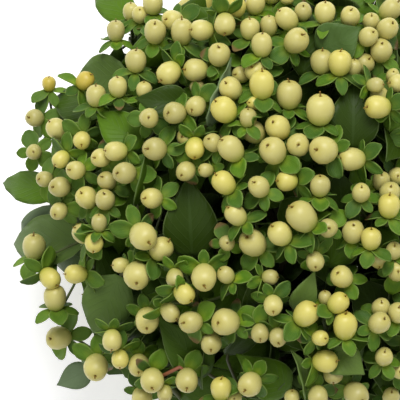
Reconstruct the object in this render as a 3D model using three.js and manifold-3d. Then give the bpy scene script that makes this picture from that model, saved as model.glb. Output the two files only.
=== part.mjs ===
// A florist's bunch of tutsan (Hypericum) in pale fruit, lying on its side on a table.
// Twelve woody stems are held by one elastic band. Each stem branches into sprigs of berries,
// every berry on its own stalk with a star of five sepals at its foot, and carries broad leaves.
// Millimetres. x runs across the bunch, y from the cut ends to the heads, z up from the table.
import * as THREE from "three";
import { mergeVertices } from "three/addons/utils/BufferGeometryUtils.js";
import Module from "manifold-3d";

const wasm = await Module();
wasm.setup();
const vec = (x, y, z) => new THREE.Vector3(x, y, z);
const degrees = (angle) => (angle * Math.PI) / 180;

// The head of the bunch is an ellipsoid that the table flattens from below.
const HEAD = { x: 42, y: 0, z: 74, across: 114, along: 110, up: 78, under: 92, underShare: 0.88 };

// The stems, with the places along y where they are cut and tied, and how they fan out to their tips.
const STEM = { radius: 2.1, sides: 5, count: 12, inner: 3, cutY: -290, tieY: -185, uneven: 7 };
const FAN = { outer: 0.52, inner: 0.2, outerY: 2, outerYRange: 26, innerY: 62 };
const BUNDLE = { outer: 7.65, inner: 2.9, splay: 1.7, cutZ: 14.4, tieZ: 36 };
const BAND = { inside: 10.05, outside: 11.8, width: 5, sides: 16 };

const BRANCH = { radius: 1.25, sides: 3, steps: 2, afterTie: 40, beforeTip: 3 };
const STALK = { radius: 0.75, sides: 3, knee: 4, straight: degrees(50), from: 0.9, apart: 1.5 };
const FRUIT = { stretch: 1.14, sides: 5, full: 1.04, girdle: 0.5, spread: 1.04 };
const CALYX = { tip: 1.75, tipDrop: 1.15, notch: 0.72, notchDrop: 0.92, foot: 2.2 };
const LEAF = { thick: 0.8, arch: 0.4, slender: 0.56 };
const LEAF_OUTLINE = [0, 1, 0.78, 0]; // how much of the width there is from foot to tip
const TABLE = { wide: 700, deep: 60, overcut: 0.3 };
const GRIDS = [0.02, 0.03, 0.05, 0.01, 0.08];
const CLEAR = 0.5; // the least gap between the growth of two stems

// The leaves that the photograph doesn't show stand in pairs round a branch, a little under its fork.
const PAIR = { from: 2.5, apart: 4, angle: 2.6, length: 34, lengthRange: 12, outwards: 0.5, sideways: 0.86 };

// What is tried, in this order, until a branch or a leaf is clear of all that has grown before it.
const TRIES = {
  stems: 4,
  shares: [0.7, 0.4, 1, 0.2, 1.3],
  sinks: [0, 4, 8, 12, -4],
  turns: [0, 0.5, -0.5, 1, -1, 1.5],
};

// The fruits are fewer here than on the plant: one in four of those that the photograph shows, and
// one or two of each other sprig's.
const BUILT = { seenShare: 4, perHiddenSprig: [1, 1, 2] };

// The photograph is 400 pixels square. It looks straight down on the lying bunch.
const PHOTO = { middle: 200, pixelsPerMm: 2.4, eyeHeight: 900, scaleLevel: 130 };
const FORK_DEPTH = 25;
const SPRIG = { rise: 8, reach: 45 };
const LATTICE = { points: 78, fruits: 7, pitch: 8.6, stemSide: -0.74, seed: 4.7 };
const GOLDEN_ANGLE = Math.PI * (3 - Math.sqrt(5));

// The way that a fruit's tip leans in the photograph.
const LEAN = { far: degrees(62), little: degrees(34) };
const COMPASS = { o: [0, 0], n: [0, 1], e: [1, 0], s: [0, -1], w: [-1, 0] };

// Sprigs that the photograph shows, front ones first. "at" is where the fork is, then each fruit has
// its middle, its width, and the way that its tip leans in the picture: "o" faces the eye, small
// letters lean a little, capitals lean far.
const SEEN_SPRIGS = [
  {
    at: [335, 84],
    fruits: [
      [340, 63, 23, "N"], [322, 62, 23, "N"], [320, 110, 28, "N"], [289, 95, 25, "N"],
      [354, 68, 15, "N"],
    ],
  },
  {
    at: [274, 42],
    fruits: [
      [296, 41, 24, "ne"], [262, 45, 21, "N"], [287, 19, 21, "NW"], [250, 29, 20, "N"],
      [269, 26, 18, "N"],
    ],
  },
  {
    at: [246, 96],
    fruits: [
      [262, 85, 25, "N"], [254, 103, 14, "w"], [224, 110, 25, "NW"], [231, 89, 22, "nw"],
      [256, 72, 21, "nw"], [241, 75, 17, "w"], [248, 118, 17, "N"],
    ],
  },
  {
    at: [250, 142],
    fruits: [
      [273, 151, 26, "nw"], [278, 128, 24, "nw"], [254, 132, 22, "NW"], [231, 149, 24, "NW"],
      [213, 143, 18, "nw"],
    ],
  },
  {
    at: [318, 158],
    fruits: [
      [324, 150, 27, "w"], [298, 145, 23, "o"], [352, 159, 23, "W"], [287, 181, 20, "W"],
      [320, 186, 20, "N"],
    ],
  },
  {
    at: [244, 192],
    fruits: [
      [259, 187, 21, "nw"], [224, 183, 22, "NW"], [236, 215, 20, "NW"], [206, 170, 14, "W"],
      [253, 243, 27, "nw"], [227, 243, 16, "o"],
    ],
  },
  {
    at: [304, 230],
    fruits: [
      [302, 217, 28, "NW"], [280, 234, 23, "NW"], [328, 228, 19, "o"], [315, 261, 18, "s"],
    ],
  },
  {
    at: [372, 216],
    fruits: [
      [389, 206, 22, "N"], [371, 239, 20, "N"], [353, 232, 22, "n"], [390, 193, 21, "n"],
      [381, 181, 18, "n"], [397, 176, 18, "o"], [361, 193, 18, "n"], [394, 251, 17, "n"],
      [379, 258, 19, "S"],
    ],
  },
  {
    at: [326, 328],
    fruits: [
      [306, 314, 24, "NE"], [338, 303, 20, "NE"], [325, 361, 23, "E"], [320, 338, 16, "e"],
      [345, 326, 24, "N"], [342, 277, 22, "nw"], [333, 373, 20, "S"], [325, 298, 13, "N"],
    ],
  },
  {
    at: [386, 332],
    fruits: [
      [379, 323, 21, "ne"], [398, 313, 20, "n"], [384, 357, 18, "n"], [381, 308, 19, "n"],
      [397, 271, 20, "o"], [399, 371, 16, "o"],
    ],
  },
  {
    at: [196, 300],
    fruits: [
      [204, 277, 25, "s"], [184, 293, 20, "SE"], [226, 322, 27, "w"], [147, 320, 24, "s"],
      [226, 275, 17, "NW"], [175, 278, 17, "S"], [191, 322, 22, "w"], [211, 343, 21, "s"],
      [170, 312, 18, "SE"],
    ],
  },
  {
    at: [144, 248],
    fruits: [
      [137, 275, 27, "s"], [143, 236, 27, "se"], [161, 249, 23, "NE"], [152, 198, 21, "w"],
      [121, 265, 15, "W"],
    ],
  },
  {
    at: [84, 232],
    fruits: [
      [94, 242, 19, "S"], [82, 234, 19, "NW"], [76, 274, 20, "W"], [50, 278, 21, "SE"],
      [34, 247, 25, "N"], [99, 223, 16, "N"], [59, 211, 18, "sw"], [55, 298, 24, "N"],
    ],
  },
  {
    at: [66, 168],
    fruits: [
      [82, 140, 18, "s"], [76, 170, 19, "w"], [61, 159, 17, "SW"], [60, 187, 21, "w"],
      [45, 179, 17, "w"],
    ],
  },
  {
    at: [46, 122],
    fruits: [
      [35, 118, 19, "w"], [57, 129, 21, "NW"], [34, 152, 17, "o"], [49, 84, 15, "N"],
    ],
  },
  {
    at: [112, 168],
    fruits: [
      [125, 173, 22, "w"], [116, 151, 20, "W"], [105, 200, 20, "n"], [87, 198, 22, "nw"],
      [107, 181, 18, "nw"], [101, 158, 19, "w"],
    ],
  },
  {
    at: [158, 124],
    fruits: [
      [149, 118, 20, "o"], [155, 149, 23, "w"], [175, 113, 22, "w"], [144, 90, 16, "N"],
    ],
  },
  {
    at: [194, 124],
    fruits: [
      [195, 148, 20, "S"], [188, 137, 20, "w"], [196, 70, 23, "W"], [196, 106, 20, "sw"],
      [197, 87, 15, "o"], [186, 171, 19, "sw"],
    ],
  },
  {
    at: [226, 30],
    fruits: [
      [225, 24, 21, "S"], [234, 7, 24, "n"], [202, 30, 21, "W"], [255, 4, 20, "N"], [219, 55, 22, "n"],
    ],
  },
  {
    at: [168, 40],
    fruits: [
      [155, 32, 23, "n"], [182, 32, 23, "N"], [169, 73, 23, "SW"], [173, 20, 21, "w"],
      [153, 4, 21, "N"],
    ],
  },
  {
    at: [130, 38],
    fruits: [
      [136, 61, 22, "N"], [116, 31, 19, "N"], [140, 15, 17, "n"], [131, 12, 17, "N"],
    ],
  },
  {
    at: [104, 96],
    fruits: [
      [96, 96, 20, "N"], [118, 87, 19, "N"], [85, 81, 18, "NE"],
    ],
  },
  {
    at: [376, 38],
    fruits: [
      [368, 37, 19, "ne"], [387, 29, 21, "ne"], [381, 51, 22, "n"], [364, 64, 20, "ne"],
      [390, 10, 21, "NE"], [371, 22, 17, "n"],
    ],
  },
  {
    at: [324, 14],
    fruits: [
      [325, 13, 21, "N"], [350, 17, 20, "n"], [303, 12, 18, "n"], [287, -2, 14, "o"],
    ],
  },
  {
    at: [382, 92],
    fruits: [
      [378, 107, 23, "W"], [375, 85, 15, "E"], [379, 97, 19, "N"], [398, 83, 18, "W"],
      [393, 76, 14, "n"],
    ],
  },
  {
    at: [98, 352],
    fruits: [
      [96, 367, 26, "s"], [112, 340, 20, "S"], [59, 338, 25, "w"], [120, 359, 18, "S"],
    ],
  },
  {
    at: [160, 378],
    fruits: [
      [152, 380, 24, "s"], [187, 380, 23, "s"], [139, 365, 22, "s"], [142, 397, 22, "s"],
      [165, 393, 16, "S"],
    ],
  },
  {
    at: [238, 386],
    fruits: [
      [250, 384, 24, "sw"], [221, 389, 21, "N"], [234, 398, 16, "o"],
    ],
  },
  {
    at: [268, 322],
    fruits: [
      [273, 305, 19, "s"], [278, 337, 18, "s"], [260, 333, 18, "s"], [270, 277, 15, "E"],
    ],
  },
  {
    at: [334, 396],
    fruits: [
      [356, 394, 24, "se"], [318, 396, 20, "s"], [292, 398, 16, "N"], [391, 397, 18, "n"],
    ],
  },
];

// Leaves that the photograph shows: foot, tip, width in pixels, depth under the head's surface in
// millimetres, and the roll about the midrib in degrees.
const SEEN_LEAVES = [
  [192, 258, 188, 175, 56, 12, 0],
  [352, 150, 355, 71, 50, 10, 0],
  [128, 76, 78, 76, 50, 12, -20],
  [104, 114, 56, 97, 50, 14, 25],
  [142, 146, 96, 112, 40, 13, 0],
  [60, 192, 3, 183, 36, 24, 0],
  [76, 230, 13, 246, 44, 10, 30],
  [54, 206, 24, 236, 26, 26, 0],
  [120, 276, 93, 333, 54, 10, 0],
  [136, 206, 147, 144, 30, 6, 68],
  [188, 102, 133, 93, 34, 16, 0],
  [134, 24, 96, -14, 38, 14, 0],
  [302, 76, 310, 12, 40, 15, 20],
  [318, 50, 363, 22, 46, 12, 0],
  [208, 126, 238, 58, 30, 4, 70],
  [342, 210, 338, 168, 34, 24, 0],
  [328, 266, 366, 198, 40, 10, 35],
  [262, 318, 262, 264, 40, 24, 0],
  [226, 354, 270, 300, 26, 16, 40],
  [296, 310, 315, 270, 26, 6, 10],
  [388, 326, 350, 274, 50, 22, 0],
  [288, 392, 236, 354, 44, 14, 0],
  [304, 400, 291, 350, 26, 5, 60],
  [326, 346, 364, 376, 38, 8, 0],
  [208, 374, 157, 317, 44, 8, 0],
  [92, 368, 57, 385, 30, 18, 0],
];

// Repeatable chance from 0 to 1 for one draw of one item.
function chance(item, draw) {
  const wave = Math.sin(item * 78.233 + draw * 37.719 + LATTICE.seed) * 43758.5453;
  return wave - Math.floor(wave);
}

// Where a pixel of the photograph lies at height z.
function fromPhoto(px, py, z) {
  const mm = (PHOTO.eyeHeight - z) / (PHOTO.eyeHeight - PHOTO.scaleLevel) / PHOTO.pixelsPerMm;
  return vec((px - PHOTO.middle) * mm, (PHOTO.middle - py) * mm, z);
}

// Where a pixel of the photograph lies, a depth under the upper surface of the head.
function onCrown(px, py, depth) {
  const near = fromPhoto(px, py, PHOTO.scaleLevel);
  const across = (near.x - HEAD.x) / HEAD.across;
  const along = (near.y - HEAD.y) / HEAD.along;
  const crown = HEAD.z + HEAD.up * Math.sqrt(Math.max(0, 1 - across * across - along * along));
  return fromPhoto(px, py, crown - depth);
}

// The way that a fruit's tip points, from its letters in the table.
function leanOf(letters) {
  const small = letters.toLowerCase();
  const flat = vec(0, 0, 0);
  for (const letter of small) flat.add(vec(...COMPASS[letter], 0));
  const tilt = letters === small ? LEAN.little : LEAN.far;
  const up = flat.lengthSq() === 0 ? 1 : Math.cos(tilt);
  return flat.normalize().multiplyScalar(Math.sin(tilt)).setZ(up);
}

// Two directions across a third one, square to it and to each other.
function frameAcross(outward) {
  const side = vec(outward.z, 0, -outward.x).normalize();
  return { side, over: vec().crossVectors(outward, side) };
}

function towards({ side, over }, angle) {
  return side.clone().multiplyScalar(Math.cos(angle)).addScaledVector(over, Math.sin(angle));
}

// The photograph's sprigs. A fruit sinks until it is clear of those listed before it.
function seenSprigs() {
  const placed = [];
  return SEEN_SPRIGS.map(({ at, fruits }) => {
    const made = fruits.map(([px, py, width, letters]) => {
      const off = Math.min(1, Math.hypot(px - at[0], py - at[1]) / SPRIG.reach);
      const spot = onCrown(px, py, -SPRIG.rise * (1 - off * off));
      const radius = width / 2 / PHOTO.pixelsPerMm;
      for (const other of placed) {
        const touch = (radius + other.radius) * FRUIT.spread;
        const apart = Math.hypot(spot.x - other.middle.x, spot.y - other.middle.y);
        if (apart < touch) {
          spot.z = Math.min(spot.z, other.middle.z - Math.sqrt(touch * touch - apart * apart));
        }
      }
      const fruit = { middle: fromPhoto(px, py, spot.z), radius, axis: leanOf(letters) };
      placed.push(fruit);
      return fruit;
    });
    return { fork: onCrown(at[0], at[1], FORK_DEPTH), outward: vec(0, 0, 1), fruits: made };
  });
}

// Whether a point of the head shows in the photograph, where the table above gives every fruit.
function inPhoto(point) {
  const reach = (PHOTO.middle / PHOTO.pixelsPerMm) * 1.04;
  return point.z > HEAD.z && Math.abs(point.x) < reach && Math.abs(point.y) < reach;
}

// The fruits of a sprig that the photograph doesn't show: a dome of them, from its middle outwards.
function domeOfFruits(index, middle, outward) {
  const across = frameAcross(outward);
  const fruits = [];
  for (let k = 0; k < LATTICE.fruits; k++) {
    const radius = 3.9 + 1.5 * chance(index, k + 3);
    const far = LATTICE.pitch * Math.sqrt(k) * (0.92 + 0.16 * chance(index, k + 20));
    const sideways = towards(across, k * GOLDEN_ANGLE + 6.28 * chance(index, 1));
    const spot = middle.clone().addScaledVector(sideways, far);
    spot.addScaledVector(outward, -(far * far) / 90);
    spot.z = Math.max(spot.z, radius);
    const axis = outward.clone().addScaledVector(sideways, far / 26).normalize();
    if (!inPhoto(spot)) fruits.push({ middle: spot, radius, axis });
  }
  return fruits;
}

// The sprigs past the photograph's edges and on the underside, spaced evenly round the head.
function hiddenSprigs() {
  const sprigs = [];
  for (let i = 0; i < LATTICE.points; i++) {
    const y = 1 - (2 * (i + 0.5)) / LATTICE.points;
    const ring = Math.sqrt(1 - y * y);
    const outward = vec(ring * Math.cos(i * GOLDEN_ANGLE), y, ring * Math.sin(i * GOLDEN_ANGLE));
    const under = outward.z < 0;
    const share = under ? HEAD.underShare : 1;
    const size = vec(HEAD.across * share, HEAD.along * share, under ? HEAD.under : HEAD.up);
    const middle = outward.clone().multiply(size).add(HEAD);
    if (outward.y < LATTICE.stemSide || inPhoto(middle)) continue;
    const fork = middle.clone().addScaledVector(outward, -FORK_DEPTH);
    fork.z = Math.max(fork.z, FORK_DEPTH / 2);
    sprigs.push({ fork, outward, fruits: domeOfFruits(i, middle, outward) });
  }
  return sprigs;
}

// The middle line of the bunch: up from the cut ends to the height of the head, then level.
function middleLine(y) {
  const behind = (y - STEM.tieY) / (STEM.cutY - STEM.tieY);
  const ahead = Math.min(1, (y - STEM.tieY) / (HEAD.y - STEM.tieY));
  const rise = behind > 0 ? (BUNDLE.cutZ - BUNDLE.tieZ) * behind : (HEAD.z - BUNDLE.tieZ) * ahead;
  return vec(HEAD.x, y, BUNDLE.tieZ + rise);
}

// Each stem's place in the tied bundle, and the tip that it fans out to inside the head.
function makeStem(index) {
  const outer = STEM.count - STEM.inner;
  const isInner = index >= outer;
  const turn = isInner ? (index - outer) / STEM.inner : (index + 0.5) / outer;
  const round = vec(Math.cos(turn * 2 * Math.PI), 0, Math.sin(turn * 2 * Math.PI));
  const spread = isInner ? FAN.inner : FAN.outer;
  const tipY = isInner ? FAN.innerY : FAN.outerY + FAN.outerYRange * chance(index, 50);
  const offset = round.clone().multiplyScalar(isInner ? BUNDLE.inner : BUNDLE.outer);
  const fan = round.multiply(vec(HEAD.across, 0, HEAD.up)).multiplyScalar(spread);
  const cutY = STEM.cutY + STEM.uneven * chance(index, 60);
  return { index, offset, fan, cutY, tip: middleLine(tipY).add(fan) };
}

// A point of a stem: packed at the tie, a little splayed at the cut, fanned out in the head.
function stemPoint(stem, y) {
  const behind = Math.max(0, (STEM.tieY - y) / (STEM.tieY - STEM.cutY));
  const start = STEM.tieY + BAND.width;
  const ahead = Math.max(0, (y - start) / (stem.tip.y - start));
  const point = middleLine(y).addScaledVector(stem.offset, 1 + (BUNDLE.splay - 1) * behind * behind);
  return point.addScaledVector(stem.fan.clone().sub(stem.offset), Math.pow(ahead, 1.5));
}

// The line of a stem, with its steps where the stem needs them and not at equal lengths.
class StemLine extends THREE.Curve {
  constructor(stem) {
    super();
    const after = STEM.tieY + BAND.width;
    const shares = [0.25, 0.5, 0.75, 1].map((share) => after + share * (stem.tip.y - after));
    this.stops = [stem.cutY, (stem.cutY + STEM.tieY) / 2, STEM.tieY - BAND.width, after, ...shares];
    this.stem = stem;
    this.steps = this.stops.length - 1;
  }

  getUtoTmapping(share) {
    return share;
  }

  getPoint(share) {
    const step = Math.min(this.steps - 1, Math.floor(share * this.steps));
    const [before, next] = [this.stops[step], this.stops[step + 1]];
    return stemPoint(this.stem, before + (next - before) * (share * this.steps - step));
  }
}

// A geometry with nothing but its places, and with the vertices that share one place merged.
function bare(geometry) {
  for (const name of Object.keys(geometry.attributes)) {
    if (name !== "position") geometry.deleteAttribute(name);
  }
  return mergeVertices(geometry, 1e-3);
}

// One closed solid from a three.js geometry, with its faces turned outwards.
function solidOf(geometry) {
  const merged = bare(geometry);
  const corners = merged.index.array;
  const faces = [];
  for (let i = 0; i < corners.length; i += 3) {
    const [a, b, c] = [corners[i], corners[i + 1], corners[i + 2]];
    if (a !== b && b !== c && c !== a) faces.push(a, b, c);
  }
  const vertProperties = merged.attributes.position.array;
  const meshOf = (list) => new wasm.Mesh({ numProp: 3, vertProperties, triVerts: new Uint32Array(list) });
  const made = new wasm.Manifold(meshOf(faces));
  return made.volume() < 0 ? new wasm.Manifold(meshOf(faces.reverse())) : made;
}

function tube(curve, radius, sides, steps) {
  const corners = [];
  for (let i = 0; i < sides; i++) {
    const angle = ((i + 0.5) / sides) * 2 * Math.PI;
    corners.push(new THREE.Vector2(radius * Math.cos(angle), radius * Math.sin(angle)));
  }
  const section = new THREE.Shape(corners);
  return solidOf(new THREE.ExtrudeGeometry(section, { steps, extrudePath: curve, bevelEnabled: false }));
}

// A closed skin over rings of points that lie one after another, from a single tip to a last ring.
function skin(rings) {
  const faces = [];
  let before = [0];
  let count = 1;
  for (const ring of rings.slice(1)) {
    const next = ring.map((_, i) => count + i);
    count += ring.length;
    let [a, b] = [0, 0];
    while (a < before.length || b < next.length) {
      const behind = (a + 1) / before.length <= (b + 1) / next.length;
      const stepBefore = b === next.length || (a < before.length && behind);
      const [from, to] = [before[a % before.length], next[b % next.length]];
      if (!stepBefore) faces.push(from, next[(b + 1) % next.length], to);
      else if (before.length > 1) faces.push(from, before[(a + 1) % before.length], to);
      if (stepBefore) a += 1;
      else b += 1;
    }
    before = next;
  }
  for (let i = 1; i < before.length - 1; i++) faces.push(before[0], before[i], before[i + 1]);
  const places = rings.flat().flatMap((point) => point.toArray());
  return new THREE.BufferGeometry()
    .setAttribute("position", new THREE.Float32BufferAttribute(places, 3))
    .setIndex(faces);
}

// A ring of points round an axis. "reach" gives each point's distance from it and height along it.
function ringRound(middle, axis, count, turn, reach) {
  const upright = new THREE.Quaternion().setFromUnitVectors(vec(0, 0, 1), axis);
  const points = [];
  for (let i = 0; i < count; i++) {
    const angle = turn + (i / count) * 2 * Math.PI;
    const [far, height] = reach(i);
    const point = vec(far * Math.cos(angle), far * Math.sin(angle), height);
    points.push(point.applyQuaternion(upright).add(middle));
  }
  return points;
}

// One fruit in a single skin: the berry, the star of five sepals under it, and its stalk to a root.
function fruitSolid({ middle, axis, radius }, root, margin) {
  const half = Math.PI / FRUIT.sides;
  const full = () => [radius * FRUIT.full + margin, 0];
  const tall = radius * FRUIT.stretch;
  const along = (height) => middle.clone().addScaledVector(axis, height);
  const star = (i) =>
    i % 2
      ? [radius * CALYX.tip + margin, -radius * CALYX.tipDrop]
      : [radius * CALYX.notch + margin, -radius * CALYX.notchDrop];
  const stalk = () => [STALK.radius + margin, 0];
  const heel = along(-tall - CALYX.foot);
  const knee = heel.clone().addScaledVector(axis, -STALK.knee);
  const leavesAside = axis.angleTo(heel.clone().sub(root)) > STALK.straight;
  const last = leavesAside ? knee : heel;
  const way = last.clone().sub(root).normalize();
  const rings = [
    [along(tall + margin)],
    ringRound(along(tall * FRUIT.girdle), axis, FRUIT.sides, 0, full),
    ringRound(along(-tall * FRUIT.girdle), axis, FRUIT.sides, half, full),
    ringRound(middle, axis, 2 * FRUIT.sides, half, star),
    ringRound(heel, axis, STALK.sides, half, stalk),
    ringRound(root, way, STALK.sides, half, stalk),
  ];
  const bend = axis.clone().add(way).normalize();
  if (leavesAside) rings.splice(-1, 0, ringRound(knee, bend, STALK.sides, half, stalk));
  return solidOf(skin(rings));
}

// A leaf blade: a plane of strips from foot to tip, drawn out to its outline, arched, and given its
// thickness. Where it would go under the table it lies on it.
function leafSolid({ foot, tip, width, facing, roll }, margin) {
  const rows = LEAF_OUTLINE.length - 1;
  const long = tip.clone().sub(foot);
  const along = long.clone().normalize();
  const side = vec().crossVectors(along, facing).normalize();
  side.applyAxisAngle(along, roll);
  const up = vec().crossVectors(side, along);
  const plane = new THREE.PlaneGeometry(1, 1, 1, rows);
  const grid = plane.getAttribute("position");
  const thick = LEAF.thick + 2 * margin;
  const places = [];
  for (const level of [0.5, -0.5]) {
    for (let i = 0; i < grid.count; i++) {
      const row = grid.getY(i) + 0.5;
      const across = grid.getX(i) * (width + 2 * margin) * LEAF_OUTLINE[Math.round(row * rows)];
      const arch = LEAF.arch * long.length() * row * (1 - row);
      const height = arch + level * thick;
      const point = foot.clone().addScaledVector(long, row);
      point.addScaledVector(side, across).addScaledVector(up, height);
      const isUpper = level * up.z > 0;
      point.z = Math.max(point.z, isUpper ? LEAF.thick + margin : -TABLE.overcut - margin);
      places.push(...point.toArray());
    }
  }
  const upper = [...plane.index.array];
  const faces = [...upper, ...upper.map((corner) => corner + grid.count).reverse()];
  for (let row = 0; row < rows; row++) {
    const [left, right, leftNext, rightNext] = [0, 1, 2, 3].map((corner) => row * 2 + corner);
    faces.push(leftNext, left, left + grid.count, leftNext, left + grid.count, leftNext + grid.count);
    faces.push(right, rightNext, right + grid.count, rightNext, rightNext + grid.count, right + grid.count);
  }
  return solidOf(
    new THREE.BufferGeometry()
      .setAttribute("position", new THREE.Float32BufferAttribute(places, 3))
      .setIndex(faces),
  );
}

// Every stem's growth so far, each piece with the room that it needs.
const stems = Array.from({ length: STEM.count }, (_, index) => makeStem(index));
const growth = stems.map(() => []);

const boxesMeet = (a, b) => [0, 1, 2].every((k) => a.min[k] <= b.max[k] && b.min[k] <= a.max[k]);

function runsInto(solid, pieces) {
  const box = solid.boundingBox();
  return pieces.some((piece) => boxesMeet(box, piece.box) && !solid.intersect(piece.room).isEmpty());
}

// Adds a piece to a stem, if the whole of it is clear of the other stems' growth, and its blade or
// berry, where it has one, is clear of its own stem's growth too.
function grow(own, make, makeBody) {
  const solid = make(0);
  if (growth.some((pieces, i) => i !== own && runsInto(solid, pieces))) return false;
  if (makeBody && runsInto(makeBody(), growth[own])) return false;
  const room = make(CLEAR);
  growth[own].push({ solid, room, box: room.boundingBox() });
  return true;
}

// A branch leaves its stem some way back from the fork that it ends in, by a share of the distance.
function branchCurve(stem, sprig, share) {
  const back = share * sprig.fork.distanceTo(stem.tip);
  const y = Math.min(stem.tip.y - BRANCH.beforeTip, sprig.fork.y - back);
  const from = stemPoint(stem, Math.max(STEM.tieY + BRANCH.afterTie, y));
  const heading = stemPoint(stem, from.y + 1).sub(from).normalize();
  const span = from.distanceTo(sprig.fork);
  return new THREE.CubicBezierCurve3(
    from,
    from.clone().addScaledVector(heading, span * 0.08),
    sprig.fork.clone().addScaledVector(sprig.outward, -span * 0.35),
    sprig.fork,
  );
}

// Hangs a sprig on the nearest stem that its branch can reach without running into another.
function branchOut(sprig) {
  const near = [...stems].sort((a, b) => a.tip.distanceTo(sprig.fork) - b.tip.distanceTo(sprig.fork));
  for (const stem of near.slice(0, TRIES.stems)) {
    for (const share of TRIES.shares) {
      const curve = branchCurve(stem, sprig, share);
      if (grow(stem.index, (margin) => tube(curve, BRANCH.radius + margin, BRANCH.sides, BRANCH.steps))) {
        const back = curve.getSpacedPoints(BRANCH.steps).at(-2).sub(sprig.fork).normalize();
        return { ...sprig, stem: stem.index, back };
      }
    }
  }
  throw new Error(`no stem can carry the sprig at ${sprig.fork.toArray()}`);
}

const fromFork = (sprig, far) => sprig.fork.clone().addScaledVector(sprig.back, far);

// A leaf that the photograph shows, on a twig from the nearest sprig.
function growSeenLeaf([footX, footY, tipX, tipY, width, depth, roll], sprigs) {
  const place = onCrown(footX, footY, depth + 5);
  const sprig = sprigs.reduce((a, b) => (b.fork.distanceTo(place) < a.fork.distanceTo(place) ? b : a));
  return TRIES.sinks.some((sink) => {
    const foot = onCrown(footX, footY, depth + sink + 5);
    const tip = onCrown(tipX, tipY, depth + sink);
    const facing = vec(0, 0, 1);
    const leaf = { foot, tip, width: width / PHOTO.pixelsPerMm, facing, roll: degrees(roll) };
    const twig = new THREE.LineCurve3(fromFork(sprig, PAIR.from), foot.clone().lerp(tip, 0.06));
    const make = (margin) => leafSolid(leaf, margin).add(tube(twig, STALK.radius + margin, STALK.sides, 1));
    return grow(sprig.stem, make, () => leafSolid(leaf, 0));
  });
}

// One of the pair of leaves that fan out under a sprig on the sides that the photograph doesn't show.
function growPairedLeaf(sprig, index, k) {
  const sideways = towards(frameAcross(sprig.outward), 6.28 * chance(index, 90) + k * PAIR.angle);
  const length = PAIR.length + PAIR.lengthRange * chance(index, 91 + k);
  const foot = fromFork(sprig, PAIR.from + PAIR.apart * k);
  const long = sideways.multiplyScalar(PAIR.sideways).addScaledVector(sprig.outward, PAIR.outwards);
  long.multiplyScalar(length);
  const width = length * LEAF.slender;
  return TRIES.turns.some((turn) => {
    const tip = long.clone().applyAxisAngle(sprig.outward, turn).add(foot);
    const leaf = { foot, tip, width, facing: sprig.outward, roll: 0 };
    const blade = { ...leaf, foot: foot.clone().lerp(tip, 0.2) };
    return grow(sprig.stem, (margin) => leafSolid(leaf, margin), () => leafSolid(blade, 0));
  });
}

// As many of a sprig's fruits as are wanted, from those that are clear of the leaves round them.
function growFruits(sprig, wanted) {
  let left = wanted;
  sprig.fruits.forEach((fruit, k) => {
    const root = fromFork(sprig, STALK.from + STALK.apart * k);
    const near = fruit.middle.clone().addScaledVector(fruit.axis, -2.5 * fruit.radius);
    const make = (margin) => fruitSolid(fruit, root, margin);
    if (left > 0 && grow(sprig.stem, make, () => fruitSolid(fruit, near, 0))) left -= 1;
  });
  return wanted - left;
}

for (const stem of stems) {
  const line = new StemLine(stem);
  const clear = grow(stem.index, (margin) => tube(line, STEM.radius + margin, STEM.sides, line.steps));
  if (!clear) throw new Error(`stem ${stem.index} meets another`);
}
const seen = seenSprigs().map(branchOut);
const hidden = hiddenSprigs().map(branchOut);
for (const leaf of SEEN_LEAVES) growSeenLeaf(leaf, [...seen, ...hidden]);
for (const sprig of seen) growFruits(sprig, Math.ceil(sprig.fruits.length / BUILT.seenShare));
hidden.forEach((sprig, i) => growFruits(sprig, BUILT.perHiddenSprig[i % BUILT.perHiddenSprig.length]));
hidden.forEach((sprig, i) => {
  growPairedLeaf(sprig, i, 0);
  growPairedLeaf(sprig, i, 1);
});

// Whether every edge of a geometry lies between two faces, and none touches itself along a line.
function edgesMeetInPairs(geometry) {
  const uses = new Map();
  const corners = geometry.index.array;
  for (let i = 0; i < corners.length; i++) {
    const next = i % 3 === 2 ? i - 2 : i + 1;
    const edge = [corners[i], corners[next]].sort((a, b) => a - b).join();
    uses.set(edge, (uses.get(edge) ?? 0) + 1);
  }
  return [...uses.values()].every((count) => count === 2);
}

// A solid's geometry with its vertices on a fine grid, so that none that a cut leaves lie closer
// than its step. A grid that makes two of its edges one is passed over for the next.
function onGrid(solid) {
  for (const step of GRIDS) {
    const geometry = geometryOf(solid);
    const places = geometry.getAttribute("position").array;
    for (let i = 0; i < places.length; i++) places[i] = Math.round(places[i] / step) * step;
    const body = solidOf(geometry).decompose().sort((a, b) => b.volume() - a.volume())[0];
    const settled = bare(geometryOf(body));
    if (edgesMeetInPairs(settled)) return settled;
  }
  throw new Error("no grid keeps the edges apart");
}

// Joins a stem's growth into one body, cut flat where it stands on the table.
const tableTop = new THREE.BoxGeometry(TABLE.wide, TABLE.wide, TABLE.deep);
const below = solidOf(tableTop.translate(0, 0, -TABLE.deep / 2));
const joined = (pieces) => onGrid(wasm.Manifold.union(pieces.map((piece) => piece.solid)).subtract(below));

function named(name, geometry, look) {
  const mesh = new THREE.Mesh(geometry, new THREE.MeshStandardMaterial(look));
  mesh.name = name;
  return mesh;
}

function geometryOf(solid) {
  const { vertProperties, triVerts } = solid.getMesh();
  return new THREE.BufferGeometry()
    .setAttribute("position", new THREE.BufferAttribute(vertProperties, 3))
    .setIndex(new THREE.BufferAttribute(triVerts, 1));
}

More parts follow.
